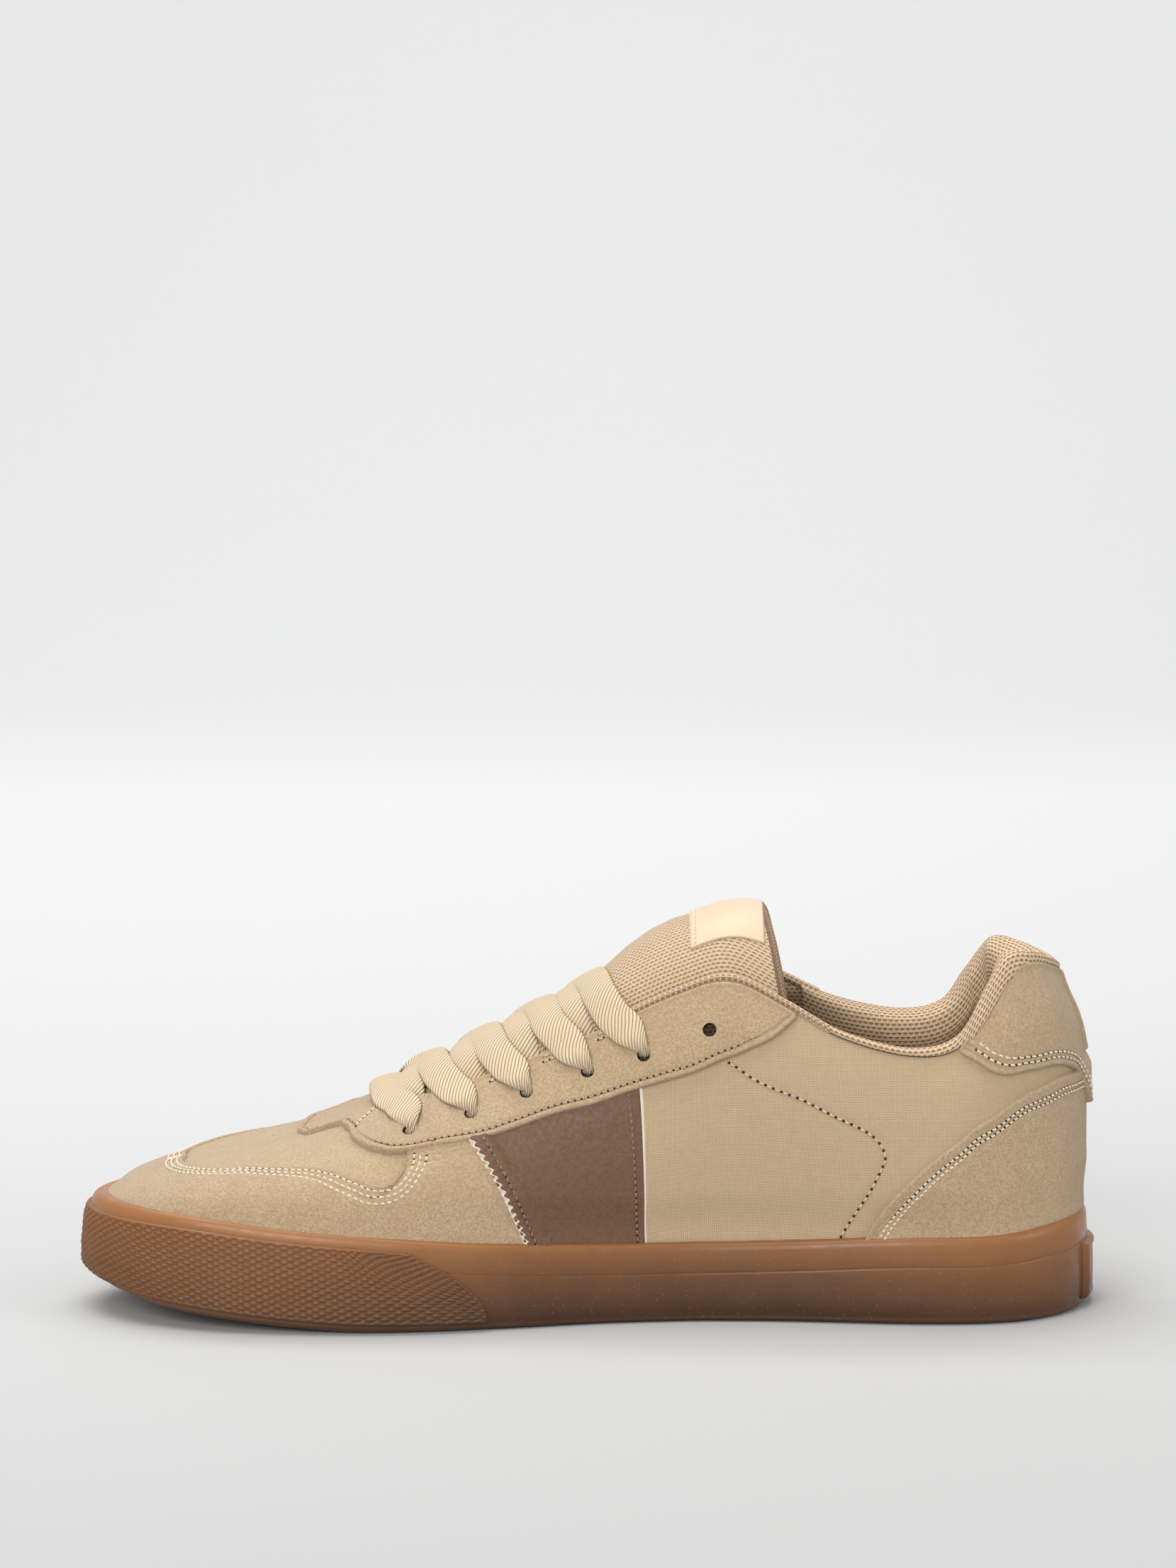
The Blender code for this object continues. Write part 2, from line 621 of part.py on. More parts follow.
def strap(name, path, group):
    """A flat strap through points, each with its outward direction"""
    points = []
    for k, (point, normal) in enumerate(path):
        run = path[min(k + 1, len(path) - 1)][0] - path[max(k - 1, 0)][0]
        side = np.cross(run, normal)
        side = side / np.linalg.norm(side) * LACE_WIDTH / 2
        up = normal * LACE_THICKNESS / 2
        points += [point - side - up, point + side - up, point + side + up, point - side + up]
    faces = loops_to_faces(len(path), 4, 0) + [(0, 1, 2, 3), tuple(len(points) - 4 + k for k in range(4))]
    return add_solid(name, points, faces, CORD, group)


def lace_path(start, end, crossing, flip):
    """Points from the edge of one side over the tongue to the eyelet of the other side"""
    path = []
    if crossing:
        heights = ((-0.5, -0.3, 0, 0.12, 0.25, 0.42, 0.64), (1.3, 1.3, 1.4, 1.7, 3.0, 4.2, 5.8))
    else:
        heights = ((-0.64, -0.42, 0, 0.42, 0.64), (6.2, 4.8, 4.0, 4.8, 6.2))
    lift = PANEL_GAP + PANEL_THICKNESS + 3 * CLEARANCE + LACE_THICKNESS
    if not crossing:
        path.append((upper_at(start[0], start[1] + 0.06, lift), upper_normal(start[0], start[1] + 0.06)))
    for w in np.linspace(heights[0][0], heights[0][-1], 11):
        share = (w + 0.6) / 1.2 if crossing else 0.5
        place = start[0] + (end[0] - start[0]) * share
        across = -w if flip else w
        path.append((tongue_at(place, across, np.interp(w, *heights)), tongue_normal(place, across)))
    side = end[0] if flip else TURN - end[0]
    path.append((upper_at(side, end[1] + 0.06, lift), upper_normal(side, end[1] + 0.06)))
    return path


def add_laces():
    """One straight bar at the bottom, then a crossing for each pair of laced holes"""
    strap("lace_bar", lace_path(EYELETS[0], EYELETS[0], False, False), PARTS)
    for k in range(4):
        over = strap("lace_cross_%d" % (k + 1), lace_path(EYELETS[k], EYELETS[k + 1], True, False), PARTS)
        under = strap("lace_join_%d" % (k + 1), lace_path(EYELETS[k], EYELETS[k + 1], True, True), CUTTERS)
        under.hide_render = True
        under.display_type = "WIRE"
        join = over.modifiers.new("join", "BOOLEAN")
        join.operation, join.solver, join.object = "UNION", "EXACT", under


add_sole()
add_insole()
upper = add_upper()
add_toe_cap()
eyestay = add_eyestay()
cut_eyelets([upper, eyestay])
add_saddle("side_panel_inner", False)
add_saddle("side_panel_outer", True)
add_counter()
add_collar_panel()
add_heel_tab()
add_bumper()
add_heel_plate()
add_tongue()
add_label()
add_collar_pad()
add_laces()
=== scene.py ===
import math

import bmesh
import bpy
import numpy as np
from mathutils import Matrix, Vector


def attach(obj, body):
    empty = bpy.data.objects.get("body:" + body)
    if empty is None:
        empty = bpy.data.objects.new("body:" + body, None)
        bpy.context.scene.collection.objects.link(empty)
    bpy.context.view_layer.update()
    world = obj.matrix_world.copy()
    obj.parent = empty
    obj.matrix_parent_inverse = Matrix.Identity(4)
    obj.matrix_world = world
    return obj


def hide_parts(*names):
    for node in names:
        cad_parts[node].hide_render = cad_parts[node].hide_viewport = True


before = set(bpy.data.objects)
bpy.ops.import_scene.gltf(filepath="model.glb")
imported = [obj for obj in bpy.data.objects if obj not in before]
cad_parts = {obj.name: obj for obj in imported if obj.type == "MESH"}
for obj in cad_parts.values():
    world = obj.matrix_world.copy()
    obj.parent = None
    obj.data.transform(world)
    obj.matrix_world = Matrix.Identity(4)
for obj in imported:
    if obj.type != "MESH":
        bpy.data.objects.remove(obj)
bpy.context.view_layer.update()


# The studio
# A seamless pale sweep, lit by large soft lamps from above and in front, and the camera level with
# the shoe's inner side.
def pale_sweep():
    profile = [(-3.0, 0.0), (1.6, 0.0)]
    profile += [(1.6 + 1.6 * math.sin(a), 1.6 - 1.6 * math.cos(a)) for a in np.linspace(0.1, math.pi / 2, 14)]
    profile += [(3.2, 5.0)]
    mesh = bpy.data.meshes.new("floor")
    points = [(x, y, z) for y, z in profile for x in (-5, 5)]
    mesh.from_pydata(points, [], [(k, k + 1, k + 3, k + 2) for k in range(0, len(points) - 2, 2)])
    mesh.shade_smooth()
    floor = bpy.data.objects.new("floor", mesh)
    bpy.context.scene.collection.objects.link(floor)
    paper = bpy.data.materials.new("pale paper")
    paper.use_nodes = True
    shader = paper.node_tree.nodes["Principled BSDF"]
    tree = paper.node_tree
    # The paper is painted darker towards the front: a painted shade where less light reaches the floor.
    spot = tree.nodes.new("ShaderNodeSeparateXYZ")
    front_shade_grade = tree.nodes.new("ShaderNodeMapRange")
    shade = tree.nodes.new("ShaderNodeMix")
    shade.data_type = "RGBA"
    tree.links.new(tree.nodes.new("ShaderNodeTexCoord").outputs["Object"], spot.inputs[0])
    front_shade_grade.inputs[1].default_value, front_shade_grade.inputs[2].default_value = -0.3, 1.2
    shade.inputs[6].default_value = (0.46, 0.46, 0.455, 1)
    shade.inputs[7].default_value = (0.74, 0.74, 0.74, 1)
    tree.links.new(spot.outputs[1], front_shade_grade.inputs[0])
    tree.links.new(front_shade_grade.outputs[0], shade.inputs[0])
    tree.links.new(shade.outputs[2], shader.inputs["Base Color"])
    shader.inputs["Roughness"].default_value = 0.9
    shader.inputs["Specular IOR Level"].default_value = 0.1
    mesh.materials.append(paper)


def soft_lamp(name, place, aim, width, height, power):
    lamp = bpy.data.lights.new(name, "AREA")
    lamp.shape, lamp.size, lamp.size_y, lamp.energy = "RECTANGLE", width, height, power
    holder = bpy.data.objects.new(name, lamp)
    holder.location = place
    holder.rotation_euler = (Vector(aim) - Vector(place)).to_track_quat("-Z", "Y").to_euler()
    bpy.context.scene.collection.objects.link(holder)


pale_sweep()
soft_lamp("overhead_lamp", (-0.3, 0.05, 1.6), (0, 0, 0.05), 1.6, 1.4, 23)
soft_lamp("front_lamp", (-0.7, -2.0, 1.0), (0, 0, 0.06), 1.7, 1.1, 32)
soft_lamp("side_lamp", (1.8, -0.9, 1.0), (0, 0, 0.06), 1.1, 1.2, 11)
soft_lamp("sweep_lamp", (0, 1.4, 2.6), (0, 3.0, 0.6), 3.0, 1.0, 32)

world = bpy.data.worlds.new("studio air")
world.use_nodes = True
world.node_tree.nodes["Background"].inputs["Color"].default_value = (0.97, 0.98, 1.0, 1)
world.node_tree.nodes["Background"].inputs["Strength"].default_value = 0.42
bpy.context.scene.world = world
bpy.context.scene.view_settings.view_transform = "Standard"

lens = bpy.data.cameras.new("camera")
lens.lens, lens.sensor_width = 115.96, 36
camera = bpy.data.objects.new("camera", lens)
camera.location = (-0.0007, -1.4763, 0.3346)
camera.rotation_euler = (math.radians(83), 0, 0)
bpy.context.scene.collection.objects.link(camera)
bpy.context.scene.camera = camera


# The upper: vamp, quarters and lining
# Suede over the toes and canvas round the sides and heel, sewn to a soft mesh lining and pulled over
# a foot-shaped last. It is open at the throat and the ankle, and it stands in the rubber cup.
LENGTH, HALF_WIDTH, COLLAR_HEIGHT, FOXING_HEIGHT = 298.6, 53.5, 105.0, 30.0
SOLE_WALL_INSET, TOE_WALL_INSET, SLACK = 2.7, 6.0, 0.3

# From toe to heel: sole place, inner side, outer side, edge place, inner side, outer side, inner
# height, outer height, as shares of the length, the half width and the collar's height
LAST_ROWS = [
    (1.000, -0.149, -0.149, 0.703, -0.056, -0.056, 0.571, 0.571),
    (0.991, -0.381, 0.056, 0.703, -0.125, 0.013, 0.573, 0.571),
    (0.969, -0.588, 0.238, 0.701, -0.190, 0.079, 0.574, 0.573),
    (0.930, -0.774, 0.480, 0.697, -0.250, 0.139, 0.576, 0.574),
    (0.873, -0.915, 0.703, 0.690, -0.310, 0.205, 0.578, 0.574),
    (0.803, -0.986, 0.878, 0.678, -0.358, 0.250, 0.584, 0.577),
    (0.730, -1.000, 0.975, 0.657, -0.388, 0.272, 0.605, 0.590),
    (0.657, -0.971, 1.000, 0.617, -0.415, 0.295, 0.645, 0.630),
    (0.577, -0.878, 0.967, 0.560, -0.450, 0.325, 0.714, 0.698),
    (0.493, -0.763, 0.884, 0.490, -0.490, 0.355, 0.803, 0.787),
    (0.410, -0.701, 0.791, 0.413, -0.540, 0.398, 0.908, 0.893),
    (0.353, -0.698, 0.740, 0.363, -0.580, 0.436, 0.947, 0.932),
    (0.300, -0.714, 0.705, 0.310, -0.636, 0.484, 0.880, 0.876),
    (0.247, -0.748, 0.685, 0.257, -0.687, 0.534, 0.798, 0.803),
    (0.190, -0.780, 0.662, 0.193, -0.700, 0.543, 0.749, 0.762),
    (0.140, -0.781, 0.636, 0.147, -0.685, 0.528, 0.764, 0.777),
    (0.103, -0.755, 0.603, 0.118, -0.647, 0.491, 0.871, 0.874),
    (0.070, -0.688, 0.536, 0.095, -0.580, 0.426, 0.979, 0.962),
    (0.037, -0.543, 0.385, 0.072, -0.473, 0.316, 0.998, 0.970),
    (0.015, -0.346, 0.190, 0.052, -0.298, 0.140, 0.970, 0.952),
    (0.006, -0.079, -0.079, 0.043, -0.079, -0.079, 0.944, 0.944),
]
FOXING_TOP = [0.98, 0.877, 0.862, 0.807, 0.78, 0.79, 0.845, 0.935, 1.025, 1.12, 1.13]
EVEN_CLIMB = [0, 0.15, 0.3, 0.45, 0.6, 0.72, 0.83, 0.92, 1]
# How a column climbs from the sole to the edge at some rows: share inwards, share up, and swell
CLIMBS = {
    0: ([0, 0.01, 0.04, 0.10, 0.22, 0.375, 0.563, 0.757, 1],
        [0, 0.32, 0.385, 0.47, 0.555, 0.63, 0.70, 0.812, 1], [0] * 9),
    4: ([0, 0, 0.03, 0.11, 0.23, 0.38, 0.56, 0.77, 1],
        [0, 0.33, 0.48, 0.575, 0.645, 0.71, 0.78, 0.87, 1], [0] * 9),
    6: ([0, 0, 0.03, 0.12, 0.25, 0.41, 0.58, 0.78, 1],
        [0, 0.31, 0.49, 0.60, 0.68, 0.76, 0.83, 0.91, 1], [0] * 9),
    10: (EVEN_CLIMB, EVEN_CLIMB, [0, 0.014, 0.037, 0.056, 0.065, 0.065, 0.051, 0.028, 0]),
    14: (EVEN_CLIMB, EVEN_CLIMB, [0, 0.007, 0.015, 0.021, 0.024, 0.024, 0.02, 0.011, 0]),
    17: (EVEN_CLIMB, EVEN_CLIMB, [0, 0.009, 0.019, 0.028, 0.035, 0.039, 0.035, 0.02, 0]),
    20: (EVEN_CLIMB, EVEN_CLIMB, [0, 0.02, 0.031, 0.042, 0.052, 0.055, 0.043, 0.018, 0]),
}


def last_ring():
    rows = np.array(LAST_ROWS)
    sizes = np.array((LENGTH, HALF_WIDTH, LENGTH, HALF_WIDTH, COLLAR_HEIGHT))
    return np.vstack((rows[:, [0, 1, 3, 4, 6]], rows[-2:0:-1, [0, 2, 3, 5, 7]])) * sizes


RING = last_ring()
TURN = len(RING)
HEEL = TURN // 2
CLIMB_ROWS = np.array(sorted(CLIMBS))
CLIMB_SHAPES = np.array([CLIMBS[row] for row in sorted(CLIMBS)], float)


def curve_between(before, start, end, after, t):
    return 0.5 * (2 * start + (end - before) * t + (2 * before - 5 * start + 4 * end - after) * t * t
                  + (3 * start - before - 3 * end + after) * t ** 3)


def ring_at(place):
    """The last's row at ring places, counted in rows from the toe"""
    first = np.floor(place).astype(int)
    rows = [RING[(first + k) % TURN] for k in (-1, 0, 1, 2)]
    return curve_between(*rows, (place - first)[..., None])


def along(values, share):
    """Smooth values along an open list with even steps"""
    values = np.asarray(values, float)
    last = len(values) - 1
    values = np.concatenate(([2 * values[0] - values[1]], values, [2 * values[-1] - values[-2]]))
    place = np.clip(share, 0, 1) * last
    first = np.minimum(place.astype(int), last - 1)
    return curve_between(*(values[first + k] for k in range(4)), place - first)


def ease(share):
    share = np.clip(share, 0, 1)
    return share * share * (3 - 2 * share)


def tread_height(s):
    return 8.2 * np.clip((s / LENGTH - 0.72) / 0.28, 0, None) ** 1.25


def cup_floor(s):
    return 0.9 * tread_height(s) + 14 - 4 * ease((s / LENGTH - 0.35) / 0.25)


def foxing_height(s):
    return FOXING_HEIGHT * along(FOXING_TOP, s / LENGTH)


def toe_share(s):
    return ease((s / LENGTH - 0.9) / 0.1)


def wall_inset(s):
    return SOLE_WALL_INSET + (TOE_WALL_INSET - SOLE_WALL_INSET) * toe_share(s)


def outward(place):
    run = ring_at(place + 0.02) - ring_at(place - 0.02)
    return np.stack((-run[..., 1], run[..., 0]), -1) / np.hypot(run[..., 0], run[..., 1])[..., None]


def outline(place, inset):
    return ring_at(place)[..., :2] - outward(place) * np.asarray(inset)[..., None]


# The heel stands out this much where it meets the rubber
HEEL_BUMP = 1.9


def upper_skin(place, up):
    """Points on the upper's outside: ring place and share up the column"""
    place, up = np.broadcast_arrays(np.asarray(place, float), np.asarray(up, float))
    row = ring_at(place)
    turn = place % TURN
    turn = np.minimum(turn, TURN - turn)
    k = np.clip(np.searchsorted(CLIMB_ROWS, turn), 1, len(CLIMB_ROWS) - 1)
    t = (turn - CLIMB_ROWS[k - 1]) / (CLIMB_ROWS[k] - CLIMB_ROWS[k - 1])
    t = (0.5 * t + 0.5 * ease(t))[..., None, None]
    shape = (1 - t) * CLIMB_SHAPES[k - 1] + t * CLIMB_SHAPES[k]
    shape = np.concatenate((2 * shape[..., :1] - shape[..., 1:2], shape,
                            2 * shape[..., -1:] - shape[..., -2:-1]), -1)
    level = np.clip(up, 0, 1) * 8
    first = np.minimum(level.astype(int), 7)
    picks = [np.take_along_axis(shape, (first + j)[..., None, None], -1)[..., 0] for j in range(4)]
    lean, rise, swell = np.moveaxis(curve_between(*picks, (level - first)[..., None]), -1, 0)
    foot = outline(place, wall_inset(row[..., 0]) + SLACK)
    base = cup_floor(row[..., 0]) + SLACK
    height = base + (row[..., 4] - base) * rise
    swell = swell * 2 * HALF_WIDTH * ease((height - foxing_height(row[..., 0])) / (0.5 * FOXING_HEIGHT))
    above = height - foxing_height(row[..., 0])
    heel_bump = HEEL_BUMP * ease((turn - 17) / 2.5) * ease((above + 1.5) / 2.5)
    swell = swell + heel_bump * np.exp(-(np.maximum(above, 0) / 9) ** 2)
    spread = foot + (row[..., 2:4] - foot) * lean[..., None] + outward(place) * swell[..., None]
    return np.concatenate((spread, height[..., None]), -1)


def unit(vectors):
    return vectors / np.maximum(np.linalg.norm(vectors, axis=-1, keepdims=True), 1e-9)


def upper_normal(place, up):
    step = 0.01
    run = upper_skin(place + step, up) - upper_skin(place - step, up)
    climb = upper_skin(place, np.minimum(up + step, 1)) - upper_skin(place, np.maximum(up - step, 0))
    return unit(np.cross(climb, run))


def upper_at(place, up, out=0.0):
    """Points a set distance out of the upper"""
    place, up = np.broadcast_arrays(np.asarray(place, float), np.asarray(up, float))
    return upper_skin(place, up) + upper_normal(place, up) * np.asarray(out)[..., None]


def gaps_along(points, axis):
    """Distance run from the first point, along one axis of a grid"""
    steps = np.linalg.norm(np.diff(points, axis=axis), axis=-1)
    start = np.zeros_like(np.take(steps, [0], axis=axis))
    return np.cumsum(np.concatenate((start, steps), axis=axis), axis=axis)


def cloth_lay(points):
    """Millimetres along and across a grid, for the lie of its cloth"""
    run = gaps_along(points[:, points.shape[1] // 2:points.shape[1] // 2 + 1], 0)
    return np.stack((np.broadcast_to(run, points.shape[:2]), gaps_along(points, 1)), -1)


def end_faces(rows, columns):
    """The two faces that close a tube of rows"""
    return [list(range(columns)), list(range((rows - 1) * columns, rows * columns))]


def grid_faces(rows, columns, wrap):
    index = np.arange(rows * columns).reshape(rows, columns)
    if wrap:
        index = np.hstack((index, index[:, :1]))
    return np.stack((index[:-1, :-1], index[:-1, 1:], index[1:, 1:], index[1:, :-1]), -1).reshape(-1, 4)


def dress(name, points, faces, lay, finish, nodes=()):
    """A piece of the shoe: its mesh, finish and cloth lay, riding on the shoe's one body"""
    points = np.asarray(points, float).reshape(-1, 3)
    mesh = bpy.data.meshes.new(name)
    spots = np.column_stack((LENGTH / 2 - points[:, 0], points[:, 1], points[:, 2])) * 0.001
    mesh.from_pydata(spots.tolist(), [], [list(face) for face in faces])
    layer = mesh.uv_layers.new(name="lay")
    corners = np.zeros(len(mesh.loops), np.int32)
    mesh.loops.foreach_get("vertex_index", corners)
    layer.data.foreach_set("uv", np.asarray(lay, float).reshape(-1, 2)[corners].astype(np.float32).ravel())
    work = bmesh.new()
    work.from_mesh(mesh)
    bmesh.ops.remove_doubles(work, verts=work.verts, dist=2e-6)
    bmesh.ops.recalc_face_normals(work, faces=work.faces)
    if work.calc_volume(signed=True) < 0:
        bmesh.ops.reverse_faces(work, faces=work.faces)
    work.to_mesh(mesh)
    work.free()
    mesh.shade_smooth()
    piece = bpy.data.objects.new(name, mesh)
    bpy.context.scene.collection.objects.link(piece)
    mesh.materials.append(finish)
    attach(piece, "root")
    if nodes:
        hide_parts(*nodes)
    return piece


def slab(name, front, back, lay, finish, nodes=(), closed=False, back_columns=9):
    """A sheet with a front and a plainer back, joined round its edges"""
    rows, columns = front.shape[:2]
    kept = np.unique(np.linspace(columns - 1, 0, min(columns, back_columns)).astype(int))[::-1]
    points = np.concatenate((front, back[:, kept]), 1)
    count = points.shape[1]
    faces = grid_faces(rows, count, True).tolist()
    if not closed:
        faces += end_faces(rows, count)
    return dress(name, points, faces, np.concatenate((lay, lay[:, kept]), 1), finish, nodes)


class Finish:
    """A surface finish built up a layer at a time; each layer is one step of the shader"""

    def __init__(self, name, colour, roughness, **gloss):
        self.material = bpy.data.materials.new(name)
        self.material.use_nodes = True
        self.tree = self.material.node_tree
        self.shader = self.tree.nodes["Principled BSDF"]
        self.shader.inputs["Base Color"].default_value = (*colour, 1)
        self.shader.inputs["Roughness"].default_value = roughness
        for key, value in gloss.items():
            self.shader.inputs[key.replace("_", " ").title().replace("Ior", "IOR")].default_value = value

    def step(self, kind, *inputs, give=0, **settings):
        node = self.tree.nodes.new("ShaderNode" + kind)
        for key, value in settings.items():
            setattr(node, key, value)
        for k, value in enumerate(inputs):
            if isinstance(value, bpy.types.NodeSocket):
                self.tree.links.new(value, node.inputs[k])
            elif value is not None:
                node.inputs[k].default_value = value
        return node.outputs[give]

    def sum(self, operation, *inputs):
        return self.step("Math", *inputs, operation=operation)

    def lie(self):
        """Millimetres along and across the cloth"""
        apart = self.tree.nodes.new("ShaderNodeSeparateXYZ")
        self.tree.links.new(self.step("UVMap", uv_map="lay"), apart.inputs[0])
        return apart.outputs[0], apart.outputs[1]

    def place(self):
        """Metres in the shoe"""
        apart = self.tree.nodes.new("ShaderNodeSeparateXYZ")
        self.tree.links.new(self.step("TexCoord", give=3), apart.inputs[0])
        return apart.outputs

    def mottle(self, size, detail=2.0, rough=0.5, low=0.35, high=0.65):
        """Soft random patches of a size in millimetres, from 0 to 1"""
        spots = self.step("TexNoise", self.step("TexCoord", give=3), None, 1000 / size, detail, rough)
        return self.step("MapRange", spots, low, high, 0.0, 1.0)

    def blend(self, share, first, second):
        node = self.tree.nodes.new("ShaderNodeMix")
        node.data_type = "RGBA"
        for socket, value in ((node.inputs[0], share), (node.inputs[6], first), (node.inputs[7], second)):
            if isinstance(value, bpy.types.NodeSocket):
                self.tree.links.new(value, socket)
            else:
                socket.default_value = value if np.isscalar(value) else (*value, 1)
        return node.outputs[2]

    def colour(self, value):
        self.tree.links.new(value, self.shader.inputs["Base Color"])

    def gloss(self, value):
        self.tree.links.new(value, self.shader.inputs["Roughness"])

    def relief(self, height, depth, strength=1.0):
        """Raise the surface by a height from 0 to 1, over a depth in millimetres"""
        node = self.tree.nodes.new("ShaderNodeBump")
        node.inputs["Strength"].default_value = strength
        node.inputs["Distance"].default_value = depth * 0.001
        self.tree.links.new(height, node.inputs["Height"])
        self.tree.links.new(node.outputs[0], self.shader.inputs["Normal"])


def dye(red, green, blue):
    """A colour as the eye reads it, 0 to 255, as light"""
    return tuple(float(((v / 255 + 0.055) / 1.055) ** 2.4) for v in (red, green, blue))


def suede(name, pale, deep, nap=1.0):
    """Napped leather: fine fibres brushed into lighter and darker flecks"""
    finish = Finish(name, pale, 0.92, sheen_weight=0.3, sheen_roughness=0.4, specular_ior_level=0.15)
    flecks = finish.mottle(0.7 * nap, 4.0, 0.7, 0.38, 0.62)
    patches = finish.mottle(9.0, 3.0, 0.55, 0.3, 0.7)
    colour = finish.blend(flecks, deep, pale)
    finish.colour(finish.blend(finish.sum("MULTIPLY", patches, 0.35), colour, deep))
    finish.relief(finish.mottle(0.6 * nap, 4.0, 0.7, 0.3, 0.7), 0.34, 0.8)
    return finish.material


def weave(name, thread, shadow, pitch):
    """Plain woven cloth: two sets of threads that pass over and under each other"""
    finish = Finish(name, thread, 0.9, sheen_weight=0.1, specular_ior_level=0.15)
    u, v = finish.lie()
    across = finish.sum("SINE", finish.sum("MULTIPLY", u, math.pi / pitch))
    up = finish.sum("SINE", finish.sum("MULTIPLY", v, math.pi / pitch))
    over = finish.sum("MULTIPLY", finish.sum("MULTIPLY", across, up), 0.42)
    warp = finish.sum("MULTIPLY", finish.sum("ABSOLUTE", across), finish.sum("ADD", over, 0.58))
    weft = finish.sum("MULTIPLY", finish.sum("ABSOLUTE", up), finish.sum("SUBTRACT", 0.58, over))
    height = finish.sum("MAXIMUM", warp, weft)
    slub = finish.mottle(2.5, 2.0, 0.5, 0.25, 0.75)
    threads = finish.step("MapRange", height, 0.25, 0.85, 0.0, 1.0)
    colour = finish.blend(threads, shadow, thread)
    finish.colour(finish.blend(finish.sum("MULTIPLY", slub, 0.22), colour, shadow))
    finish.relief(height, 0.16, 0.8)
    return finish.material


def knit(name, yarn, hollow_shade, pitch, row, hole_wide, hole_high, depth=0.35):
    """Spacer mesh: rows of small hollows, each row shifted half a step, with painted shade in the hollows"""
    finish = Finish(name, yarn, 0.9, sheen_weight=0.1, specular_ior_level=0.15)
    u, v = finish.lie()
    line = finish.sum("DIVIDE", v, row)
    odd = finish.sum("MULTIPLY", finish.sum("MODULO", finish.sum("FLOOR", line), 2.0), 0.5)
    step = finish.sum("ADD", finish.sum("DIVIDE", u, pitch), odd)
    side = finish.sum("DIVIDE", finish.sum("SUBTRACT", finish.sum("FRACT", step), 0.5), hole_wide)
    bow = finish.sum("MULTIPLY", finish.sum("POWER", side, 2.0), 0.12)
    high = finish.sum("ADD", finish.sum("SUBTRACT", finish.sum("FRACT", line), 0.5), bow)
    high = finish.sum("DIVIDE", high, hole_high)
    reach = finish.sum("ADD", finish.sum("POWER", side, 2.0), finish.sum("POWER", high, 2.0))
    solid = finish.step("MapRange", reach, 0.45, 1.6, 0.0, 1.0)
    fibre = finish.mottle(0.5, 2.0, 0.6, 0.3, 0.7)
    # The hollows take the dark colour: painted shade inside the mesh holes.
    colour = finish.blend(solid, hollow_shade, yarn)
    finish.colour(finish.blend(finish.sum("MULTIPLY", fibre, 0.3), colour, hollow_shade))
    finish.relief(finish.sum("ADD", solid, finish.sum("MULTIPLY", fibre, 0.25)), depth, 0.8)
    return finish.material


VAMP_SUEDE = suede("vamp suede", dye(204, 182, 149), dye(178, 151, 116))
PANEL_SUEDE = suede("panel suede", dye(202, 178, 145), dye(174, 146, 114))
CANVAS = weave("canvas", dye(208, 185, 153), dye(160, 136, 106), 0.5)
LINING_MESH = knit("lining mesh", dye(216, 192, 160), dye(150, 116, 86), 1.7, 1.35, 0.36, 0.26, 0.5)


def near_seam(points, seam):
    """Distance from each point of a grid to a seam"""
    flat = points.reshape(-1, 3)
    best = np.full(len(flat), 1e9)
    for spot in seam:
        best = np.minimum(best, ((flat - spot) ** 2).sum(1))
    return np.sqrt(best).reshape(points.shape[:-1])


def upper_shell(name, first, last, low, columns, rows, outside, inside, finish, nodes=(), pulls=()):
    """A curved piece of the upper between two ring places, sunk along the seams that pull it in"""
    place = np.linspace(first, last, columns)[:, None]
    up = np.linspace(low, 1, rows)[None]
    place, up = np.broadcast_arrays(place, up)
    front = upper_at(place, up, outside)
    for seam, depth, width in pulls:
        sunk = depth * np.exp(-(near_seam(front, seam) / width) ** 2)
        front -= upper_normal(place, up) * sunk[..., None]
    back = upper_at(place, up, inside)
    return slab(name, front, back, cloth_lay(front), finish, nodes, back_columns=rows // 2)


POCKET_SEAM = np.array([(10.90, 0.64), (11.43, 0.591), (12.37, 0.583), (13.00, 0.559), (13.34, 0.535),
                        (13.53, 0.498), (13.62, 0.445), (13.54, 0.391), (13.31, 0.288), (12.84, 0.13)])


def smooth_line(knots, count):
    """An even smooth line through (place, up) knots"""
    knots = np.asarray(knots, float)
    run = np.concatenate(([0], np.cumsum(np.hypot(np.diff(knots[:, 0]) * 14, np.diff(knots[:, 1]) * 70))))
    t = np.linspace(0, run[-1], count)
    k = np.clip(np.searchsorted(run, t) - 1, 0, len(knots) - 2)
    padded = np.vstack((2 * knots[0] - knots[1], knots, 2 * knots[-1] - knots[-2]))
    share = ((t - run[k]) / (run[k + 1] - run[k]))[:, None]
    return curve_between(padded[k], padded[k + 1], padded[k + 2], padded[k + 3], share)


def other_side(line):
    return np.column_stack((TURN - line[:, 0], line[:, 1]))


pocket = smooth_line(POCKET_SEAM, 160)
pocket_lines = [upper_at(line[:, 0], line[:, 1]) for line in (pocket, other_side(pocket))]
upper_shell("vamp", -6.95, 6.95, 0.04, 260, 56, 0.0, -0.9, VAMP_SUEDE)
quarters = upper_shell("quarters", 6.96, 33.04, 0.02, 400, 52, 0.0, -0.9, CANVAS, ["upper"],
                       [(line, 0.3, 0.9) for line in pocket_lines])
lining = upper_shell("lining", -20.0, 20.0, 0.02, 300, 36, -0.95, -1.8, LINING_MESH)


# Threads
# Every seam is a row of lockstitches: short lengths of thread that lie on the leather and dive into
# needle holes, each drawn as a small dark disc of painted shade. The same thread sews each panel below.
def thread(name, colour, shade):
    finish = Finish(name, colour, 0.6, sheen_weight=0.2)
    finish.colour(finish.blend(finish.mottle(0.35, 2.0), shade, colour))
    return finish.material


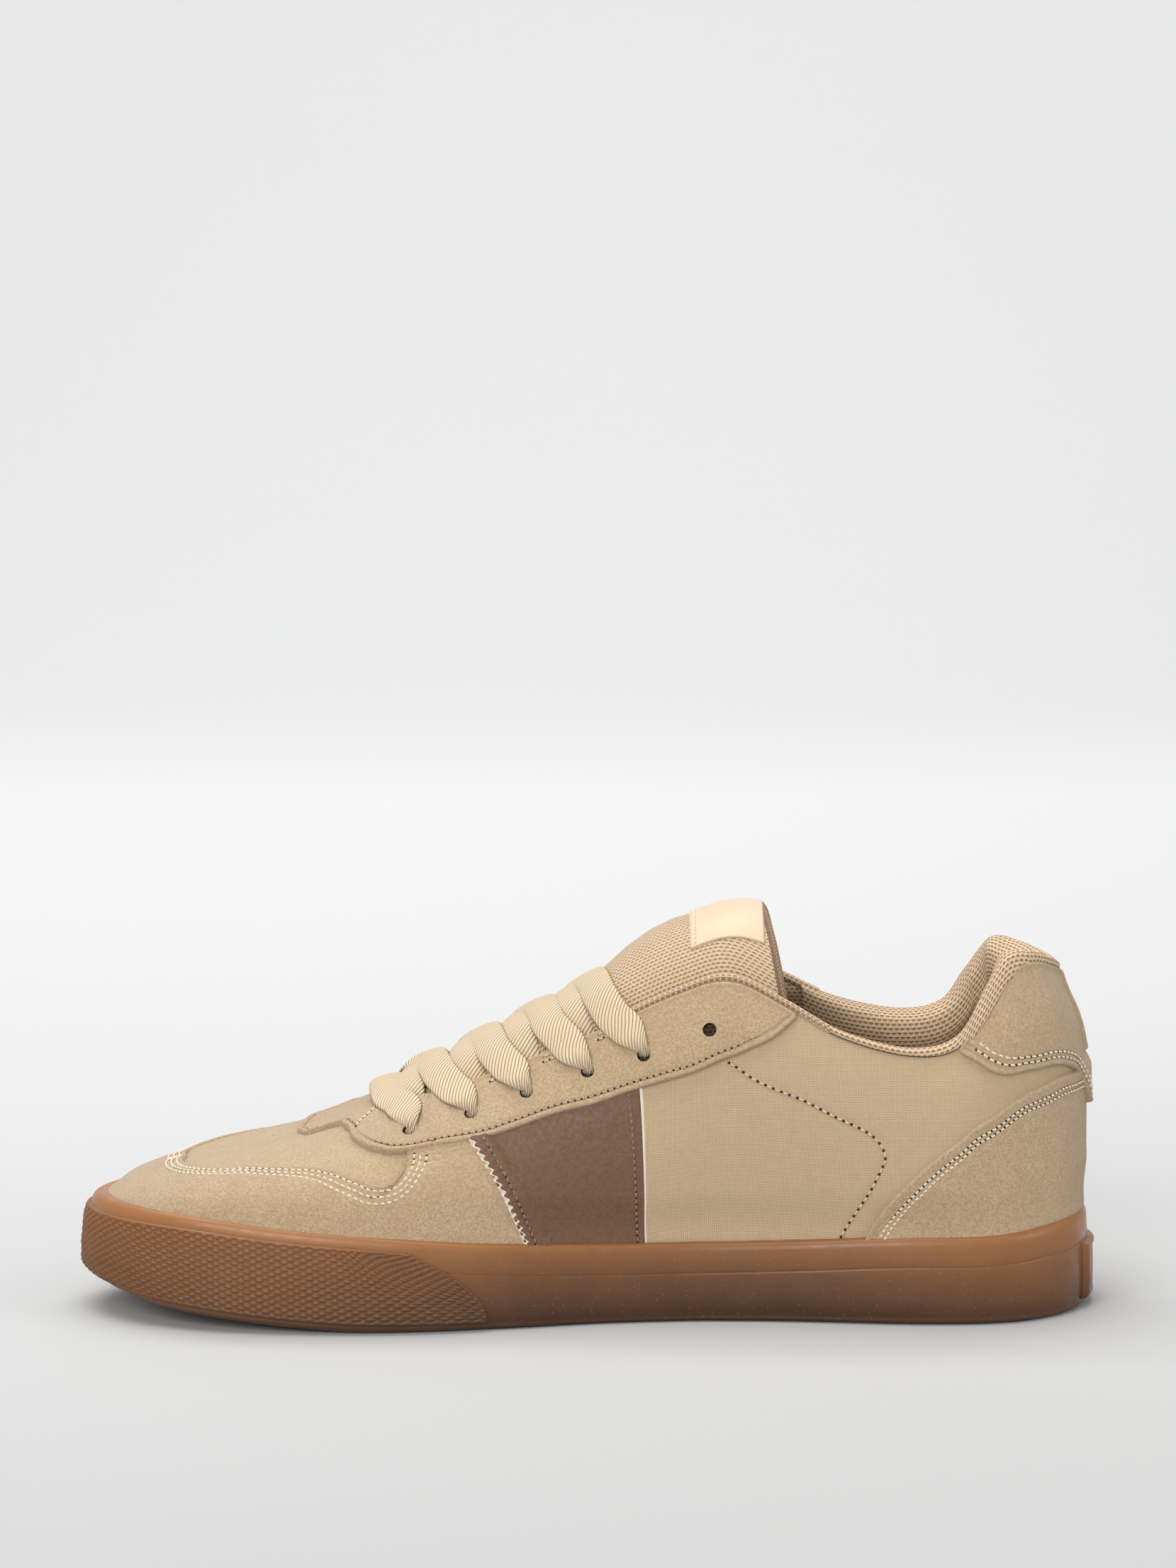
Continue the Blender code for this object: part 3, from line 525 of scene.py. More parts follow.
WHITE_THREAD = thread("white thread", dye(236, 226, 206), dye(196, 180, 152))
PALE_THREAD = thread("pale thread", dye(222, 202, 170), dye(170, 146, 112))
TAN_THREAD = thread("tan thread", dye(196, 170, 132), dye(136, 110, 78))
BROWN_THREAD = thread("brown thread", dye(160, 124, 96), dye(96, 68, 50))
# Needle holes are dark discs: painted shade in the holes.
NEEDLE_HOLE_SHADE = Finish("needle hole shade", dye(54, 40, 30), 1.0).material


def sew(name, points, normals, finish, slot, pitch=2.0, radius=0.29, slant=0.10, holes=True, fill=0.74):
    """A row of stitches along points on a surface"""
    run = gaps_along(points[:, None], 0)[:, 0]
    count = max(1, int(round(run[-1] / pitch)))
    step = run[-1] / count

    def at(t, values):
        return np.stack([np.interp(t, run, values[:, k]) for k in range(3)], -1)

    middle = (np.arange(count) + 0.5) * step
    spot, normal = at(middle, points), unit(at(middle, normals))
    ahead = unit(at(middle + 0.3, points) - at(middle - 0.3, points))
    side = unit(np.cross(normal, ahead))
    ahead = unit(ahead + slant * side)
    side = unit(np.cross(normal, ahead))
    shares = np.array((-0.5, -0.42, -0.22, 0, 0.22, 0.42, 0.5)) * step * fill
    lifts = np.array((-0.9, 0.05, 0.55, 0.7, 0.55, 0.05, -0.9)) * radius
    sizes = np.array((0.55, 0.9, 1, 1, 1, 0.9, 0.55)) * radius
    angles = np.linspace(0, 2 * math.pi, 6, endpoint=False)
    rings = (spot[:, None, None] + ahead[:, None, None] * shares[None, :, None, None]
             + normal[:, None, None] * lifts[None, :, None, None]
             + sizes[None, :, None, None] * (side[:, None, None] * np.cos(angles)[None, None, :, None]
                                             + normal[:, None, None] * np.sin(angles)[None, None, :, None]))
    faces, size = [], rings.shape[1] * 6
    tube = grid_faces(rings.shape[1], 6, True)
    ends = end_faces(rings.shape[1], 6)
    for k in range(count):
        faces += (tube + k * size).tolist() + [[i + k * size for i in end] for end in ends]
    lay = np.zeros((rings.size // 3, 2))
    dress(name, rings, faces, lay, finish)
    # A small dark disc at each dive: painted shade where the needle hole is.
    if holes:
        dives = np.arange(count + 1) * step
        spot, normal = at(dives, points), unit(at(dives, normals))
        ahead = unit(np.cross(normal, np.array((0.3, 0.2, 0.9))))
        side = np.cross(normal, ahead)
        rim = (spot[:, None] + 1.35 * radius * (ahead[:, None] * np.cos(angles)[None, :, None]
                                                + side[:, None] * np.sin(angles)[None, :, None]))
        low, high = rim - 0.25 * normal[:, None], rim + 0.06 * normal[:, None]
        cups = np.stack((low, high), 1)
        faces = []
        for k in range(count + 1):
            faces += (grid_faces(2, 6, True) + 12 * k).tolist()
            faces += [[12 * k + i for i in end] for end in end_faces(2, 6)]
        dress(name + "_holes", cups, faces, np.zeros((cups.size // 3, 2)), NEEDLE_HOLE_SHADE)


def sew_upper(name, line, out, finish, slot, **how):
    """Stitches along a (place, up) line, a set distance out of the upper"""
    place, up = line[:, 0], line[:, 1]
    sew(name, upper_at(place, up, out), upper_normal(place, up), finish, slot, **how)


for side, line in (("inner", pocket), ("outer", other_side(pocket))):
    sew_upper("pocket_stitch_" + side, line, -0.1, PALE_THREAD, "canvas", pitch=2.5, radius=0.33, fill=0.62)


# Leather panels: how each is cut
# The suede and leather panels are cut flat, skived and sewn down round the last. Each has a rounded
# cut edge, and its stitch rows pull it in and leave a soft lip outside them.
def beside(line, distance):
    """A (place, up) line moved sideways over the upper by millimetres"""
    place, up = line[:, 0], line[:, 1]
    per_place = np.linalg.norm(upper_skin(place + 0.02, up) - upper_skin(place - 0.02, up), axis=-1) / 0.04
    above, below = np.minimum(up + 0.01, 1), up - 0.01
    per_up = np.linalg.norm(upper_skin(place, above) - upper_skin(place, below), axis=-1) / (above - below)
    run = np.column_stack((np.gradient(place) * per_place, np.gradient(up) * per_up))
    turn = unit(np.column_stack((-run[:, 1], run[:, 0]))) * distance
    return line + turn / np.column_stack((per_place, per_up))


EDGE_STEPS = np.array([0, 0.08, 0.22, 0.42, 0.7, 1.05, 1.5, 2.0, 2.5, 3.0, 3.5, 4.0, 4.5, 5.0, 5.6])


def edge_steps(lengths, rows):
    """Shares across a panel, crowded towards its two cut edges"""
    lengths = np.maximum(np.asarray(lengths, float), 0.5)[:, None]
    near = EDGE_STEPS[None] * np.minimum(1, lengths / (2.6 * EDGE_STEPS[-1]))
    low, high = near / lengths, 1 - near[:, ::-1] / lengths
    middle = np.linspace(0, 1, rows)[None, 1:-1]
    return np.concatenate((low, low[:, -1:] + (high[:, :1] - low[:, -1:]) * middle, high), 1)


def rounded(reach):
    """How high a rounded edge stands, from 0 to 1, at a share of its run"""
    return np.sqrt(np.clip(1 - (1 - np.clip(reach, 0, 1)) ** 2, 0, 1))


def panel(name, low, high, rows, thickness, finish, node=None, rows_of_stitches=(), lip=0.25,
          closed=False, ends=(True, True), under=-0.3, skin=upper_at, edge=0.5, reshape=None, creases=()):
    """A panel between two (place, up) lines, with its stitch rows (distance from low, from high)"""
    span = skin(high[:, 0], high[:, 1], 0) - skin(low[:, 0], low[:, 1], 0)
    share = edge_steps(np.linalg.norm(span, axis=-1), rows)
    place = low[:, None, 0] + (high - low)[:, None, 0] * share
    up = low[:, None, 1] + (high - low)[:, None, 1] * share
    if reshape:
        place, up = reshape(place, up)
    base = skin(place, up, 0)
    from_low = gaps_along(base, 1)
    from_high = from_low[:, -1:] - from_low
    run = gaps_along(base, 0)
    from_start, from_end = run, run[-1:] - run
    reach = np.minimum(from_low, from_high)
    for wanted, distance in zip(ends, (from_start, from_end)):
        if wanted and not closed:
            reach = np.minimum(reach, distance)
    height = rounded(reach / edge)
    raised = lip * np.exp(-((reach - 0.95) / 0.6) ** 2) * (reach > 0)
    for which, distance, depth in rows_of_stitches:
        away = {"low": from_low, "high": from_high, "start": from_start, "end": from_end}[which] - distance
        raised = raised - depth * np.exp(-(away / 0.45) ** 2)
    for seam, depth, width in creases:
        away = near_seam(base, skin(seam[:, 0], seam[:, 1], 0))
        raised = raised - depth * np.exp(-(away / width) ** 2)
    out = thickness * height + raised * height
    return slab(name, skin(place, up, out), skin(place, up, under), cloth_lay(base), finish,
                [node] if node else (), closed)


def foxing_line(place, below=3.0):
    """Share up the column, a little below the top of the rubber"""
    target = foxing_height(ring_at(place)[..., 0]) - below
    low, high = np.zeros_like(place), np.full_like(place, 0.6)
    for _ in range(24):
        middle = (low + high) / 2
        under = upper_skin(place, middle)[..., 2] < target
        low, high = np.where(under, middle, low), np.where(under, high, middle)
    return np.column_stack((place, high))


def whole_turn(line, about):
    """A line with its mirror image on the other side of the shoe"""
    return np.vstack((line, np.column_stack((2 * about - line[::-1, 0], line[::-1, 1]))[1:]))


# Toe cap
# One piece of suede round the toe and back along both sides, sewn over the vamp with three rows of
# off-white thread.
CAP_SEAM = np.array([(6.42, 0.60), (6.50, 0.53), (6.53, 0.47), (6.45, 0.385), (6.21, 0.375), (5.92, 0.426),
                     (5.36, 0.515), (4.79, 0.555), (3.86, 0.557), (3.18, 0.52), (2.40, 0.512),
                     (1.2, 0.535), (0, 0.56)])
EYESTAY_LOW = np.array([(12.18, 0.965), (11.95, 0.87), (11.66, 0.775), (11.30, 0.705), (10.95, 0.662),
                        (10.31, 0.632), (9.75, 0.630), (9.31, 0.634), (8.86, 0.629), (8.38, 0.634),
                        (7.93, 0.612), (7.49, 0.592), (7.1, 0.596), (6.81, 0.598), (6.45, 0.588),
                        (6.1, 0.60), (5.69, 0.655), (5.30, 0.72), (4.80, 0.788), (4.2, 0.848), (3.6, 0.872),
                        (3.1, 0.886), (2.78, 0.878), (2.55, 0.85), (2.25, 0.825), (1.5, 0.83), (0, 0.83)])


def up_on(seam, place):
    order = np.argsort(seam[:, 0])
    return np.interp(place, seam[order, 0], seam[order, 1])


cap_back = np.column_stack((np.linspace(7.53, 6.62, 40),
                            up_on(EYESTAY_LOW, np.linspace(7.53, 6.62, 40)) + 0.02))
cap_rest = smooth_line(CAP_SEAM, 220)
cap_high = whole_turn(np.vstack((cap_back, cap_rest)), 0)
cap_low_place = np.concatenate((np.linspace(8.45, 7.0, 40), np.linspace(6.98, 0, 220)))
cap_low = whole_turn(foxing_line(cap_low_place), 0)
# Skived thinner on the outer side
CAP_SKIVED = (-6.6, -5.8, -1.6, -0.8)
CAP_ROWS = (1.9, 3.6, 5.3)
cap_thickness = np.interp(cap_high[:, 0], CAP_SKIVED, (1.25, 0.6, 0.6, 1.25))
panel("toe_cap_suede", cap_low, cap_high, 26, cap_thickness[:, None], PANEL_SUEDE, "toe_cap",
      lip=0.15, rows_of_stitches=[("high", distance, 0.35) for distance in CAP_ROWS])
for k, distance in enumerate(CAP_ROWS):
    start = np.argmax(cap_rest[:, 1] < 0.585 - 0.012 * distance)
    line = whole_turn(beside(cap_rest[start:], distance), 0)
    out = np.interp(line[:, 0], CAP_SKIVED, (1.0, 0.35, 0.35, 1.0))
    sew_upper("toe_cap_stitch_%d" % (k + 1), line, out, WHITE_THREAD, "suede", pitch=2.0)


# Side panels
# A plain band of brown smooth leather on each side, between the sole and the lace panel. Its front
# edge is pinked, its cut edges show pale, and two rows of brown thread hold each edge.
def smooth_leather(name, colour, deep):
    finish = Finish(name, colour, 0.46, specular_ior_level=0.4)
    wrinkles = finish.mottle(1.3, 4.0, 0.6, 0.38, 0.62)
    pores = finish.mottle(0.35, 2.0, 0.5, 0.35, 0.65)
    finish.colour(finish.blend(finish.sum("MULTIPLY", wrinkles, 0.5), colour, deep))
    finish.gloss(finish.step("MapRange", wrinkles, 0.0, 1.0, 0.42, 0.58))
    finish.relief(finish.sum("ADD", wrinkles, finish.sum("MULTIPLY", pores, 0.4)), 0.12, 0.5)
    return finish.material


BROWN_LEATHER = smooth_leather("brown leather", dye(108, 78, 55), dye(88, 61, 43))
CUT_EDGE = Finish("cut edge", dye(226, 214, 196), 0.9).material


SADDLE_FRONT, SADDLE_REAR = ((7.31, 0.592), (8.23, 0.10)), ((9.46, 0.63), (9.56, 0.10))
SADDLE_WIDTH, FRONT_ROW, REAR_ROW = 34, 2.5, 2.3
PLACE_LENGTH = 20


def side_panel(side):
    share = np.linspace(0, 1, 90)
    low_place = SADDLE_FRONT[1][0] + (SADDLE_REAR[1][0] - SADDLE_FRONT[1][0]) * share
    high_place = SADDLE_FRONT[0][0] + (SADDLE_REAR[0][0] - SADDLE_FRONT[0][0]) * share
    high = np.column_stack((high_place, up_on(EYESTAY_LOW, high_place) + 0.02))
    low = foxing_line(low_place)
    sign = 1 if side == "inner" else -1
    if side == "outer":
        low, high = other_side(low), other_side(high)

    def over_cap(place, up, out):
        """The front edge lies on the toe cap's suede, and the rest comes down to the canvas"""
        row = place if side == "inner" else TURN - place
        behind = (row - np.interp(up, (0.10, 0.592), (8.23, 7.31))) * PLACE_LENGTH
        return upper_at(place, up, out + 1.3 * (1 - ease((behind - 4) / 3)))

    def pinked(margin):
        def shape(place, up):
            base = upper_skin(place, up)
            climb, run = gaps_along(base, 1), gaps_along(base, 0)
            tooth = np.sin(climb * 2 * math.pi / 2.3)
            ahead = tooth * 0.025 + 0.6 * margin / PLACE_LENGTH
            place = place - sign * ahead * np.exp(-(run / 1.8) ** 2)
            return place + sign * margin / PLACE_LENGTH * np.exp(-((run[-1:] - run) / 1.8) ** 2), up
        return shape

    panel("side_panel_core_" + side, low, high, 120, 0.75, CUT_EDGE, skin=over_cap,
          lip=0.0, reshape=pinked(0.36), edge=0.15)
    panel("side_panel_leather_" + side, low, high, 120, 1.15, BROWN_LEATHER,
          "side_panel_" + side, lip=0.04, edge=0.3, reshape=pinked(0.0), skin=over_cap,
          rows_of_stitches=(("start", FRONT_ROW, 0.25), ("end", REAR_ROW, 0.25)))
    for name, t in (("front", FRONT_ROW / SADDLE_WIDTH), ("rear", 1 - REAR_ROW / SADDLE_WIDTH)):
        foot = [np.interp(t, share, low[:, k]) for k in (0, 1)]
        head = [np.interp(t, share, high[:, k]) for k in (0, 1)]
        climb = np.linspace(0.02, 0.97, 80)[:, None]
        line = np.array(foot) + (np.array(head) - np.array(foot)) * climb
        spots = over_cap(line[:, 0], line[:, 1], 1.02)
        sew("side_panel_stitch_%s_%s" % (side, name), spots, upper_normal(line[:, 0], line[:, 1]),
            BROWN_THREAD, "smooth_leather", pitch=2.0)


for side in ("inner", "outer"):
    side_panel(side)


# Heel counter
# A stiff suede panel round the back of the heel, above the rubber, held by a double row of white
# thread well inside its folded edge.
COUNTER_TOP = smooth_line([(13.18, 0.10), (13.52, 0.232), (13.95, 0.350), (14.56, 0.460), (15.31, 0.524),
                           (16.0, 0.51), (16.8, 0.498), (17.57, 0.502), (18.4, 0.53), (19.2, 0.55),
                           (20.0, 0.555)], 240)
counter_high = whole_turn(COUNTER_TOP, HEEL)
counter_low = foxing_line(counter_high[:, 0])
counter_low[:, 1] = np.minimum(counter_low[:, 1], counter_high[:, 1] - 0.004)
panel("heel_counter_suede", counter_low, counter_high, 22, 1.4, PANEL_SUEDE, "heel_counter", lip=0.2,
      rows_of_stitches=(("high", 3.4, 0.3), ("high", 4.8, 0.3)))
for k, distance in enumerate((3.4, 4.8)):
    line = whole_turn(beside(COUNTER_TOP[10:], -distance), HEEL)
    sew_upper("counter_stitch_%d" % (k + 1), line, 1.3, WHITE_THREAD, "suede", pitch=1.7)


# Collar panel
# Suede round the top of the heel, its lower edge rolled, with a double row of twisted off-white
# thread a little above it. At the back it runs down as a short tail.
def over_counter(place, up, out):
    """The back of the panel runs down as a short tail that lies on the heel counter"""
    back = ease((0.85 - np.abs(place - HEEL)) / 0.5) * ease((0.62 - up) / 0.05)
    return upper_at(place, up, np.asarray(out) + 1.5 * back)


COLLAR_LOW = smooth_line([(15.09, 0.99), (15.2, 0.93), (15.44, 0.850), (15.91, 0.708), (16.56, 0.604),
                          (17.26, 0.566), (17.97, 0.566), (18.52, 0.564), (18.95, 0.55), (19.25, 0.51),
                          (19.5, 0.462), (19.7, 0.443), (20.0, 0.44)], 210)
COLLAR_ROWS = (2.4, 4.0)
collar_low = whole_turn(COLLAR_LOW, HEEL)
collar_high = np.column_stack((collar_low[:, 0], np.full(len(collar_low), 0.992)))
collar_low[:, 1] = np.minimum(collar_low[:, 1], 0.98)
panel("collar_panel_suede", collar_low, collar_high, 22, 1.5, PANEL_SUEDE, "collar_panel",
      lip=0.45, skin=over_counter, rows_of_stitches=[("low", distance, 0.35) for distance in COLLAR_ROWS])
for k, distance in enumerate(COLLAR_ROWS):
    line = whole_turn(beside(COLLAR_LOW[30:], distance), HEEL)
    spots, normals = over_counter(line[:, 0], line[:, 1], 1.4), upper_normal(line[:, 0], line[:, 1])
    sew("collar_stitch_%d" % (k + 1), spots, normals, WHITE_THREAD, "suede", pitch=2.2)


# Heel tab
# A narrow suede strip down the back, over the collar panel, plain and sewn down round its edge.
tab_place = np.linspace(HEEL - 0.42, HEEL + 0.42, 30)
tab_low, tab_high = (np.column_stack((tab_place, np.full(30, up))) for up in (0.62, 0.98))
panel("heel_tab_suede", tab_low, tab_high, 22, 0.8, PANEL_SUEDE, "heel_tab", lip=0.1,
      skin=lambda place, up, out: upper_at(place, up, np.asarray(out) + 1.6), under=-1.9,
      rows_of_stitches=(("start", 1.6, 0.25), ("end", 1.6, 0.25)))


# Lace panel
# One strip of suede round the throat, with a tab in front and six punched holes a side. A single row
# of thread follows its lower edge, which stands up as a soft lip.
EYELETS = [(6.26, 0.742), (7.25, 0.769), (8.03, 0.796), (8.83, 0.794), (9.52, 0.765), (10.54, 0.773)]
# The walls of the punched lace holes are painted dark: painted shade inside the holes.
HOLE_WALL_SHADE = Finish("punched edge shade", dye(60, 44, 34), 0.95).material
FRONT_SEAM = smooth_line([(6.84, 0.60), (6.62, 0.72), (6.36, 0.86), (6.12, 0.985)], 60)
other_front = other_side(FRONT_SEAM)
eyestay_half = smooth_line(EYESTAY_LOW, 270)
eyestay_low = whole_turn(eyestay_half, 0)
eyestay_high = np.column_stack((eyestay_low[:, 0], np.full(len(eyestay_low), 0.995)))
eyestay_low[:, 1] = np.minimum(eyestay_low[:, 1], 0.985)
panel_thickness = np.interp(np.abs(eyestay_low[:, 0]), (2.6, 3.8), (1.35, 2.0))
eyestay = panel("lace_panel_suede", eyestay_low, eyestay_high, 26, panel_thickness[:, None], PANEL_SUEDE,
                "eyestay", lip=0.3, rows_of_stitches=(("low", 2.3, 0.4),),
                creases=[(FRONT_SEAM, 0.8, 0.5), (other_front, 0.8, 0.5)])
line = whole_turn(beside(eyestay_half[6:], -2.3), 0)
out = np.interp(np.abs(line[:, 0]), (2.6, 3.8), (1.1, 1.75))
sew_upper("lace_panel_stitch", line, out, TAN_THREAD, "suede", pitch=2.0)
for side, turned in (("inner", False), ("outer", True)):
    for k, place in enumerate((6.72, 7.62, 8.42, 9.16)):
        for up in (0.935, 0.965):
            line = np.column_stack((np.linspace(place - 0.17, place + 0.17, 12), np.full(12, up)))
            line = other_side(line) if turned else line
            sew_upper("throat_tack_%s_%d_%d" % (side, k + 1, up * 1000), line, 2.0, PALE_THREAD, "suede",
                      pitch=1.9)
    line = np.column_stack((np.linspace(4.35, 3.55, 20), np.linspace(0.86, 0.985, 20)))
    line = -line * (1, -1) if turned else line
    sew_upper("throat_front_" + side, line, 1.95, WHITE_THREAD, "suede", pitch=1.9)


def punch(pieces):
    """Punch the lace holes through the panel, the cloth and the lining"""
    work = bmesh.new()
    for place, up in EYELETS + [(TURN - p, u) for p, u in EYELETS]:
        spots = np.array([upper_at(place, up, 0.0), upper_at(place, up, 8.0)])
        middle, tip = (Vector(spot) for spot in (spots * (-1, 1, 1) + (LENGTH / 2, 0, 0)) * 0.001)
        turn = (tip - middle).to_track_quat("Z", "Y").to_matrix().to_4x4()
        bmesh.ops.create_cone(work, cap_ends=True, segments=28, radius1=0.002, radius2=0.002, depth=0.009,
                              matrix=Matrix.Translation(middle) @ turn)
    mesh = bpy.data.meshes.new("punch")
    work.to_mesh(mesh)
    work.free()
    mesh.materials.append(HOLE_WALL_SHADE)
    tool = bpy.data.objects.new("punch", mesh)
    bpy.context.scene.collection.objects.link(tool)
    for piece in pieces:
        # The cut walls take the punch's dark finish, the painted shade inside the holes.
        cut = piece.modifiers.new("holes", "BOOLEAN")
        cut.operation, cut.solver, cut.object, cut.material_mode = "DIFFERENCE", "EXACT", tool, "TRANSFER"
    bpy.context.view_layer.update()
    ready = bpy.context.evaluated_depsgraph_get()
    cut_meshes = [bpy.data.meshes.new_from_object(piece.evaluated_get(ready)) for piece in pieces]
    for piece, mesh in zip(pieces, cut_meshes):
        piece.modifiers.clear()
        piece.data = mesh
    bpy.data.objects.remove(tool, do_unlink=True)


punch([eyestay, quarters, lining])


# Tongue
# A foam pad in knitted mesh that lies under the laces and stands up in front of the ankle. A bound
# edge closes its end, and a plain satin ribbon is sewn on its ridge.
TONGUE_RISE, TONGUE_THICKNESS = 26.0, 6.0
TONGUE_RIDGE = [(5, 0.13), (6, 0.24), (7, 0.32), (8, 0.42), (8.6, 0.46), (9, 0.54), (9.3, 0.66),
                (9.6, 0.72), (9.9, 0.72), (10.2, 0.69), (10.6, 0.69), (11, 0.72), (11.6, 0.83), (12.2, 0.97)]
TONGUE_MESH = knit("tongue mesh", dye(206, 183, 152), dye(150, 119, 88), 1.62, 1.25, 0.36, 0.2, 0.45)
BINDING_KNIT = knit("binding knit", dye(178, 148, 116), dye(112, 84, 62), 1.1, 0.8, 0.36, 0.3, 0.3)


def tongue_skin(place, across):
    """Points on the tongue's top: ring place of the inner edge, and -1 to 1 across"""
    place, across = np.broadcast_arrays(np.asarray(place, float), np.asarray(across, float))
    sink = -2.6
    inner, outer = upper_at(place, 1.0, sink), upper_at(TURN - place, 1.0, sink)
    middle = (inner + outer) / 2
    rise = TONGUE_RISE * np.interp(place, [p for p, _ in TONGUE_RIDGE], [h for _, h in TONGUE_RIDGE])
    ridge = middle + np.stack((0 * rise, 0 * rise, rise + 0.02 * COLLAR_HEIGHT), -1)
    near = (across < 0)[..., None]
    edge = np.where(near, inner, outer)
    w = np.abs(across)
    side_place = np.where(across < 0, place, TURN - place)
    tucked = upper_at(side_place, 1 - 0.12 * np.clip(w - 0.75, 0, None) / 0.25, sink)
    turn = (1 - np.minimum(w, 0.75) / 0.75) * math.pi / 2
    shares = np.stack((1 - np.sin(turn), np.cos(turn), 1 - np.sin(turn)), -1)
    return np.where((w > 0.75)[..., None], tucked, ridge + (edge - ridge) * shares)


def tongue_normal(place, across):
    run = tongue_skin(place + 0.1, across) - tongue_skin(place - 0.1, across)
    over = tongue_skin(place, across + 0.02) - tongue_skin(place, across - 0.02)
    return unit(np.cross(over, run))


def tongue_at(place, across, out=0.0):
    place, across = np.broadcast_arrays(np.asarray(place, float), np.asarray(across, float))
    return tongue_skin(place, across) + tongue_normal(place, across) * np.asarray(out)[..., None]


def tongue_under(place, across, depth):
    point = tongue_skin(place, across)
    low, far = upper_skin(place, 1.0), upper_skin(TURN - place, 1.0)
    centre = np.stack((point[..., 0], np.broadcast_to((low + far)[..., 1] / 2, point.shape[:-1]),
                       np.broadcast_to(low[..., 2] - 12, point.shape[:-1])), -1)
    return point - unit(point - centre) * np.asarray(depth)[..., None]


def tongue_end(across):
    """The tongue's end runs further back at its sides"""
    return 11.54 + 0.4 * np.minimum(np.abs(across) / 0.75, 1) ** 1.2


def make_tongue():
    share = np.linspace(0, 1, 160)[:, None]
    across = np.linspace(-1, 1, 80)[None]
    place = 5.3 + (tongue_end(across) - 5.3) * share
    place, across = np.broadcast_arrays(place, across)
    puff = 0.5 * np.cos(across * math.pi / 2) * ease((place - 6) / 2)
    top = tongue_at(place, across, puff)
    depth = TONGUE_THICKNESS * (0.5 + 0.5 * ease((place - 5.3) / 2.2))
    under = tongue_under(place, across, depth * (1 - 0.35 * ease((share - 0.95) / 0.05)))
    tongue = slab("tongue_pad", top, under, cloth_lay(top), TONGUE_MESH, ["tongue"],
                  back_columns=30)


make_tongue()


def tube(name, spine, sides, ups, wide, high, finish, slot, nodes=(), around=14):
    """A soft roll along a line: its two axes and half sizes at each point"""
    angle = np.linspace(0, 2 * math.pi, around, endpoint=False)
    wide, high = (np.broadcast_to(np.asarray(v, float), len(spine)) for v in (wide, high))
    rings = (spine[:, None] + sides[:, None] * (wide[:, None] * np.cos(angle))[..., None]
             + ups[:, None] * (high[:, None] * np.sin(angle))[..., None])
    lay = np.stack((np.broadcast_to(gaps_along(spine[:, None], 0), rings.shape[:2]),
                    np.broadcast_to(angle[None] * wide.mean(), rings.shape[:2])), -1)
    faces = grid_faces(len(spine), around, True).tolist()
    faces += end_faces(len(spine), around)
    return dress(name, rings, faces, lay, finish, nodes)


def bind_tongue():
    across = np.linspace(-0.97, 0.97, 150)
    end = tongue_end(across)
    top, under = tongue_at(end, across, 0.5), tongue_under(end, across, 5.4)
    back = tongue_skin(end, across) - tongue_skin(end - 0.1, across)
    tube("tongue_binding", (top + under) / 2 + unit(back) * 0.4, unit(top - under), unit(back), 3.4, 2.0,
         BINDING_KNIT, "mesh_fabric")


bind_tongue()


def satin(name, colour, shade):
    finish = Finish(name, colour, 0.42, sheen_weight=0.3, specular_ior_level=0.5, anisotropic=0.4)
    u, v = finish.lie()
    slant = finish.sum("ADD", u, finish.sum("MULTIPLY", v, 0.6))
    ribs = finish.sum("SINE", finish.sum("MULTIPLY", slant, 11.0))
    height = finish.step("MapRange", ribs, -1.0, 1.0, 0.0, 1.0)
    finish.colour(finish.blend(finish.sum("MULTIPLY", height, 0.5), colour, shade))
    finish.relief(height, 0.05, 0.5)
    return finish.material


SATIN = satin("satin ribbon", dye(212, 187, 156), dye(190, 164, 130))


def make_label():
    count = 60
    place = np.linspace(10.14, 11.62, count)
    low = np.column_stack((place, np.full(count, -0.43)))
    high = np.column_stack((place, np.full(count, 0.43)))
    panel("tongue_ribbon", low, high, 30, 0.5, SATIN, "tongue_label", lip=0.0, edge=0.25,
          skin=lambda p, a, out: tongue_at(p, a, np.asarray(out) + 0.62), under=-0.3)
    across = np.linspace(-0.41, 0.41, 60)
    spots = tongue_at(10.24, across, 1.12)
    sew("ribbon_stitch", spots, tongue_normal(np.full(60, 10.24), across), WHITE_THREAD, "satin_ribbon",
        pitch=1.6, radius=0.3, slant=0.3, holes=False, fill=0.95)


make_label()


# Collar pad and its binding
# A thick foam roll covered in mesh runs round the ankle and stands over the upper's edge. A narrow
# binding of the same mesh runs forward from it along the lace panel.
def upper_rim(place):
    """The upper's top edge, and its directions outwards and up there"""
    edge = upper_skin(place, 1.0)
    return edge, upper_normal(place, 1.0), unit(edge - upper_skin(place, 0.97))


